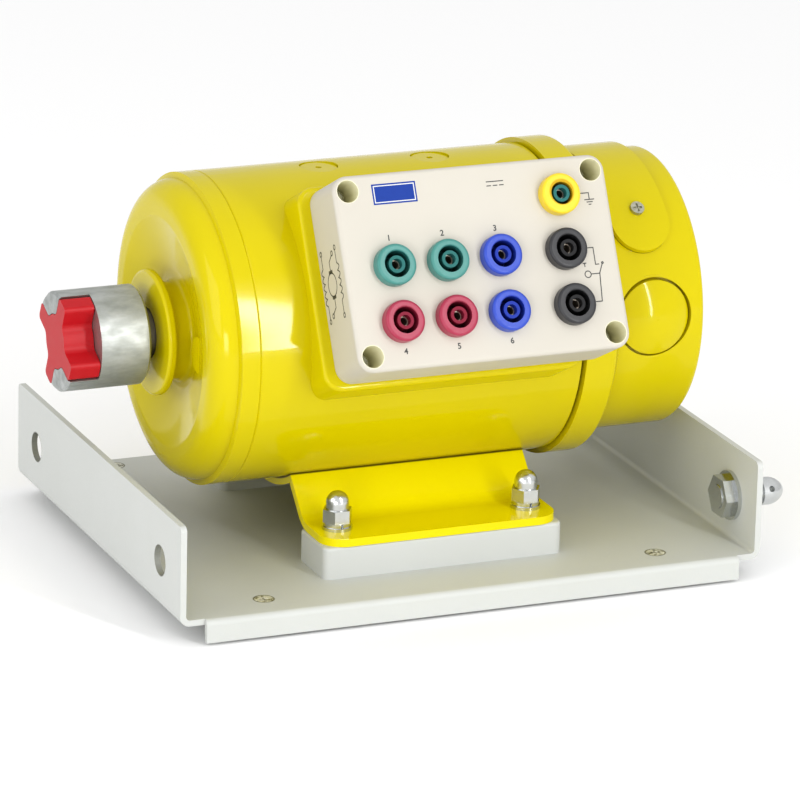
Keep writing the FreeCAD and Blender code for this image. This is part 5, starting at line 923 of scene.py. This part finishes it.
@dataclass
class TerminalLegend:
    """Print on the face and on the end of the terminal box.

    Places are in millimetres, from the middle of the face that they are on.

    Attributes:
        middle_x: middle of the box along the shaft, from the middle of the base.
        rise: middle of the panel above the shaft's axis, along the panel.
        face: distance of the panel from the shaft's axis.
        box_long: length of the box along the shaft.
        columns: middles of the numbered columns of sockets.
        upper_figures: height of the figures above the upper sockets.
        lower_figures: height of the figures below the lower sockets.
        figure: height of one figure.
        line: width of a line.
        patch: middle of the blue field.
        patch_size: width and height of the blue field.
        patch_margin: from the edge of the blue field to the line round it.
        patch_lift: gap between the panel and that line, just over the blue.
        earth_sign: lead and bars of the protective earth.
        switch_sign: leads and arms of the thermal switch, with a plus.
        direct_sign: full and broken line of direct current.
        sensor: middle, radius and width of the thermal switch's circle.
        pivot: middle, radius and width of the thermal switch's pivot.
        end_back: from the panel to the middle of the print on the end of the box.
        end_drop: that middle below the panel's, along the panel.
        circuit_line: width of a line on the end of the box.
        armature: radius of the armature's circle.
        brush: half width of a brush and its distance from the middle.
        brush_line: width of a brush's line.
        brush_lead: places of the lead above the upper brush.
        brush_end: middle of the contact at that lead's end.
        contact: radius of a contact.
        coil_x: distance of a field coil from the middle.
        coil_half: half height of a field coil.
        coil_swell: width of a coil's turns.
        coil_turns: number of turns.
        coil_steps: straight steps that draw one turn.
        coil_lead: height of the end of a coil's lead.
        coil_end: height of the contact at that end.
    """
    middle_x: float = BOX_X
    rise: float = BOX_RISE
    face: float = 116.0
    box_long: float = 141.3
    columns: tuple[float, ...] = (-46.0, -18.55, 8.91)
    upper_figures: float = 15.9
    lower_figures: float = -39.1
    figure: float = 2.9
    line: float = 0.5
    patch: Spot = (-39.6, 37.3)
    patch_size: tuple[float, float] = (22.6, 10.0)
    patch_margin: float = 1.0
    patch_lift: float = 0.035
    earth_sign: tuple[Line, ...] = (
        ((53.9, 28.9), (60.2, 28.9), (60.2, 25.6)),
        ((57.6, 25.6), (62.8, 25.6)),
        ((58.6, 24.4), (61.8, 24.4)),
        ((59.5, 23.2), (60.9, 23.2)),
    )
    switch_sign: tuple[Line, ...] = (
        ((54.0, 2.1), (58.1, 2.1), (58.1, -6.2), (60.0, -6.2)),
        ((61.8, -5.7), (59.6, -10.5), (58.6, -24.3), (54.0, -24.3)),
        ((55.0, -10.7), (59.6, -10.7)),
        ((52.4, -5.2), (52.4, -7.0)),
        ((51.4, -5.2), (53.4, -5.2)),
    )
    direct_sign: tuple[Line, ...] = (
        ((8.0, 38.6), (17.0, 38.6)),
        ((8.0, 36.6), (10.4, 36.6)),
        ((11.3, 36.6), (13.7, 36.6)),
        ((14.6, 36.6), (17.0, 36.6)),
    )
    sensor: tuple[float, float, float, float] = (53.4, -10.7, 1.6, 0.5)
    pivot: tuple[float, float, float, float] = (61.8, -5.7, 0.45, 0.5)
    end_back: float = 18.5
    end_drop: float = 1.0
    circuit_line: float = 0.65
    armature: float = 5.6
    brush: tuple[float, float] = (2.4, 6.2)
    brush_line: float = 1.4
    brush_lead: Line = ((0.0, 6.6), (0.0, 11.0), (4.0, 13.5))
    brush_end: Spot = (4.8, 14.4)
    contact: float = 1.1
    coil_x: float = 9.4
    coil_half: float = 9.0
    coil_swell: float = 2.6
    coil_turns: int = 5
    coil_steps: int = 6
    coil_lead: float = 15.2
    coil_end: float = 16.4

    def sheet(self) -> Sheet:
        """Face of the panel."""
        base = Vector((self.middle_x, 0, AXIS_Z))
        middle = base + PANEL_OUT * self.face + PANEL_UP * self.rise
        return Sheet(middle, Vector((1, 0, 0)), PANEL_UP)

    def end_sheet(self) -> Sheet:
        """End of the box that faces the coupling, read with the panel's top upward."""
        base = Vector((self.middle_x - self.box_long / 2, 0, AXIS_Z))
        back, down = self.face - self.end_back, self.rise - self.end_drop
        return Sheet(base + PANEL_OUT * back + PANEL_UP * down, PANEL_OUT, PANEL_UP)

    def build(self, shop: Paintshop) -> None:
        """Print the panel and the end of the box.

        Args:
            shop: source of the inks.
        """
        self.numbers(shop)
        self.blue_field(shop)
        self.symbols(shop)
        self.circuit(shop)

    def ink_print(self, shop: Paintshop, name: str, mesh: bmesh.types.BMesh, ink: Finish) -> None:
        """Turn a print into a piece and ink it.

        Args:
            shop: source of the inks.
            name: name of the piece.
            mesh: the print.
            ink: its finish.
        """
        shop.paint(link_piece(name, mesh), ink)

    def numbers(self, shop: Paintshop) -> None:
        """Print plain numbers above the upper sockets and below the lower ones.

        Args:
            shop: source of the ink.
        """
        face, mesh = self.sheet(), bmesh.new()
        for i, x in enumerate(self.columns, start=1):
            face.print_text(mesh, str(i), x, self.upper_figures, self.figure)
            face.print_text(mesh, str(i + len(self.columns)), x, self.lower_figures, self.figure)
        self.ink_print(shop, "panel_numbers", mesh, INK_BLACK)

    def blue_field(self, shop: Paintshop) -> None:
        """Print a plain blue field with a line round it in the upper left corner.

        Args:
            shop: source of the inks.
        """
        face, mesh, lines = self.sheet(), bmesh.new(), bmesh.new()
        (x, y), (wide, high), inset = self.patch, self.patch_size, self.patch_margin
        left, right, low, top = x - wide / 2, x + wide / 2, y - high / 2, y + high / 2
        face.print_shape(mesh, [(left, low), (right, low), (right, top), (left, top)])
        self.ink_print(shop, "panel_blue_field", mesh, INK_BLUE)
        left, right, low, top = left + inset, right - inset, low + inset, top - inset
        spots = [(left, low), (right, low), (right, top), (left, top), (left, low)]
        face.print_line(lines, spots, self.line, self.patch_lift)
        self.ink_print(shop, "panel_blue_field_frame", lines, INK_WHITE)

    def symbols(self, shop: Paintshop) -> None:
        """Print the signs for protective earth, thermal switch and direct current.

        Args:
            shop: source of the ink.
        """
        face, mesh = self.sheet(), bmesh.new()
        for spots in self.earth_sign + self.switch_sign + self.direct_sign:
            face.print_line(mesh, spots, self.line)
        for ring in (self.sensor, self.pivot):
            face.print_ring(mesh, *ring)
        self.ink_print(shop, "panel_symbols", mesh, INK_BLACK)

    def circuit(self, shop: Paintshop) -> None:
        """Print the circuit of a wound machine on the end of the box.

        Args:
            shop: source of the ink.
        """
        face, mesh, width = self.end_sheet(), bmesh.new(), self.circuit_line
        face.print_ring(mesh, 0, 0, self.armature, width)
        half, reach = self.brush
        for sign in (1, -1):
            face.print_line(mesh, [(-half, sign * reach), (half, sign * reach)], self.brush_line)
            face.print_line(mesh, [(sign * x, sign * y) for x, y in self.brush_lead], width)
            end_x, end_y = self.brush_end
            face.print_ring(mesh, sign * end_x, sign * end_y, self.contact, width)
            x = sign * self.coil_x
            face.print_line(mesh, self.coil(x, sign), width)
            for end in (1, -1):
                face.print_line(mesh, [(x, end * self.coil_half), (x, end * self.coil_lead)], width)
                face.print_ring(mesh, x, end * self.coil_end, self.contact, width)
        self.ink_print(shop, "box_circuit_print", mesh, INK_BLACK)

    def coil(self, x: float, sign: int) -> list[Spot]:
        """Line of a field coil's turns, from low to high.

        Args:
            x: place of the coil.
            sign: 1 where the turns swell to the right, -1 to the left.

        Returns:
            Places along the line.
        """
        steps = self.coil_turns * self.coil_steps
        swell = [self.coil_swell * abs(math.sin(math.pi * i / self.coil_steps))
                 for i in range(steps + 1)]
        return [(x + sign * out, -self.coil_half + 2 * self.coil_half * i / steps)
                for i, out in enumerate(swell)]


# ---------------------------------------------------------------- studio

@dataclass(frozen=True)
class Softbox:
    """Flat lamp that faces the object.

    Attributes:
        name: name of the lamp.
        place: position in millimetres.
        size: width and height in millimetres.
        power: watts.
    """
    name: str
    place: tuple[float, float, float]
    size: tuple[float, float]
    power: float


@dataclass
class Studio:
    """Pale floor, soft light and the camera.

    Attributes:
        azimuth: camera's angle to the left of the front, in degrees.
        elevation: camera's angle above the bench, in degrees.
        roll: camera's turn about its view, in degrees.
        distance: from the camera to the target in millimetres.
        lens: focal length in millimetres.
        film: width of the camera's sensor in millimetres.
        view_depth: farthest distance that the camera sees, in metres.
        target: place that the camera and the lamps look at, in millimetres.
        ground: half width of the floor in metres.
        bright_side: direction from which the sky is brightest.
        dark_from: cosine to that direction below which the sky is dim.
        bright_from: cosine to that direction above which the sky is bright.
        dim: strength of the sky's dim side.
        bright: strength of the sky's bright side.
        softboxes: the lamps.
        exposure: stops of the final exposure.
    """
    azimuth: float = 22.966
    elevation: float = 17.923
    roll: float = 1.406
    distance: float = 2805.0
    lens: float = 253.3
    film: float = 36.0
    view_depth: float = 50.0
    target: Vector = field(default_factory=lambda: Vector((5.6, -5.44, 72.45)))
    ground: float = 30.0
    bright_side: tuple[float, float, float] = (0.1, -0.4, 0.9)
    dark_from: float = -0.15
    bright_from: float = 0.85
    dim: float = 0.8
    bright: float = 1.06
    softboxes: tuple[Softbox, ...] = (
        Softbox("key", (400, -1290, 640), (60, 1300), 8.5),
        Softbox("left_fill", (-2000, -600, 860), (1500, 1400), 12.0),
        Softbox("low_fill", (-1100, -1500, 240), (600, 400), 6.5),
    )
    exposure: float = -0.34

    def build(self) -> None:
        """Set up the camera, the floor and the lights."""
        self.camera()
        self.floor()
        self.sky()
        for softbox in self.softboxes:
            self.lamp(softbox)
        bpy.context.scene.view_settings.view_transform = "Standard"
        bpy.context.scene.view_settings.look = "Medium High Contrast"
        bpy.context.scene.view_settings.exposure = self.exposure

    def camera(self) -> None:
        """Long lens above and to the left of the terminal panel."""
        a, e, r = (math.radians(v) for v in (self.azimuth, self.elevation, self.roll))
        back = Vector((-math.sin(a) * math.cos(e), -math.cos(a) * math.cos(e), math.sin(e)))
        right = Vector((math.cos(a), -math.sin(a), 0))
        up = back.cross(right)
        tilted_right = right * math.cos(r) + up * math.sin(r)
        tilted_up = up * math.cos(r) - right * math.sin(r)
        place = (self.target + back * self.distance) * MM
        lens = bpy.data.cameras.new("camera")
        lens.lens = self.lens
        lens.sensor_width = self.film
        lens.clip_end = self.view_depth
        view = bpy.data.objects.new("camera", lens)
        turn = Matrix((tilted_right, tilted_up, back)).transposed().to_4x4()
        view.matrix_world = Matrix.Translation(place) @ turn
        bpy.context.scene.collection.objects.link(view)
        bpy.context.scene.camera = view

    def floor(self) -> None:
        """Large pale sheet under the object."""
        mesh = bmesh.new()
        bmesh.ops.create_grid(mesh, x_segments=4, y_segments=4, size=self.ground)
        data = bpy.data.meshes.new("floor")
        mesh.to_mesh(data)
        mesh.free()
        ground = bpy.data.objects.new("floor", data)
        bpy.context.scene.collection.objects.link(ground)
        data.materials.append(BACKGROUND_PAPER.build())

    def sky(self) -> None:
        """White light that is strong from above and the front, and weak from below and behind."""
        world = bpy.data.worlds.new("tent")
        world.use_nodes = True
        tree = world.node_tree
        way = add_node(tree, "TexCoord").outputs["Generated"]
        feeds = {0: way, 1: Vector(self.bright_side).normalized()}
        facing = add_node(tree, "VectorMath", feeds, operation="DOT_PRODUCT").outputs["Value"]
        feeds = {0: facing, 1: self.dark_from, 2: self.bright_from, 3: self.dim, 4: self.bright}
        glow = add_node(tree, "MapRange", feeds, interpolation_type="SMOOTHSTEP").outputs[0]
        tree.nodes["Background"].inputs["Color"].default_value = linear("#ffffff")
        tree.links.new(glow, tree.nodes["Background"].inputs["Strength"])
        bpy.context.scene.world = world

    def lamp(self, softbox: Softbox) -> None:
        """Hang one lamp.

        Args:
            softbox: its place, size and power.
        """
        lamp = bpy.data.lights.new(softbox.name, "AREA")
        lamp.shape = "RECTANGLE"
        lamp.size, lamp.size_y = (side * MM for side in softbox.size)
        lamp.energy = softbox.power
        holder = bpy.data.objects.new(softbox.name, lamp)
        spot = Vector(softbox.place) * MM
        holder.location = spot
        holder.rotation_euler = (self.target * MM - spot).to_track_quat("-Z", "Y").to_euler()
        bpy.context.scene.collection.objects.link(holder)


def main() -> None:
    """Dress the solids, add the springs and the print, and set up the studio."""
    logging.basicConfig(level=logging.INFO, format="%(name)s %(message)s")
    shop = Paintshop()
    shop.dress_solids()
    BrushSprings().build(shop)
    TerminalLegend().build(shop)
    Studio().build()


if __name__ == "__main__":
    main()
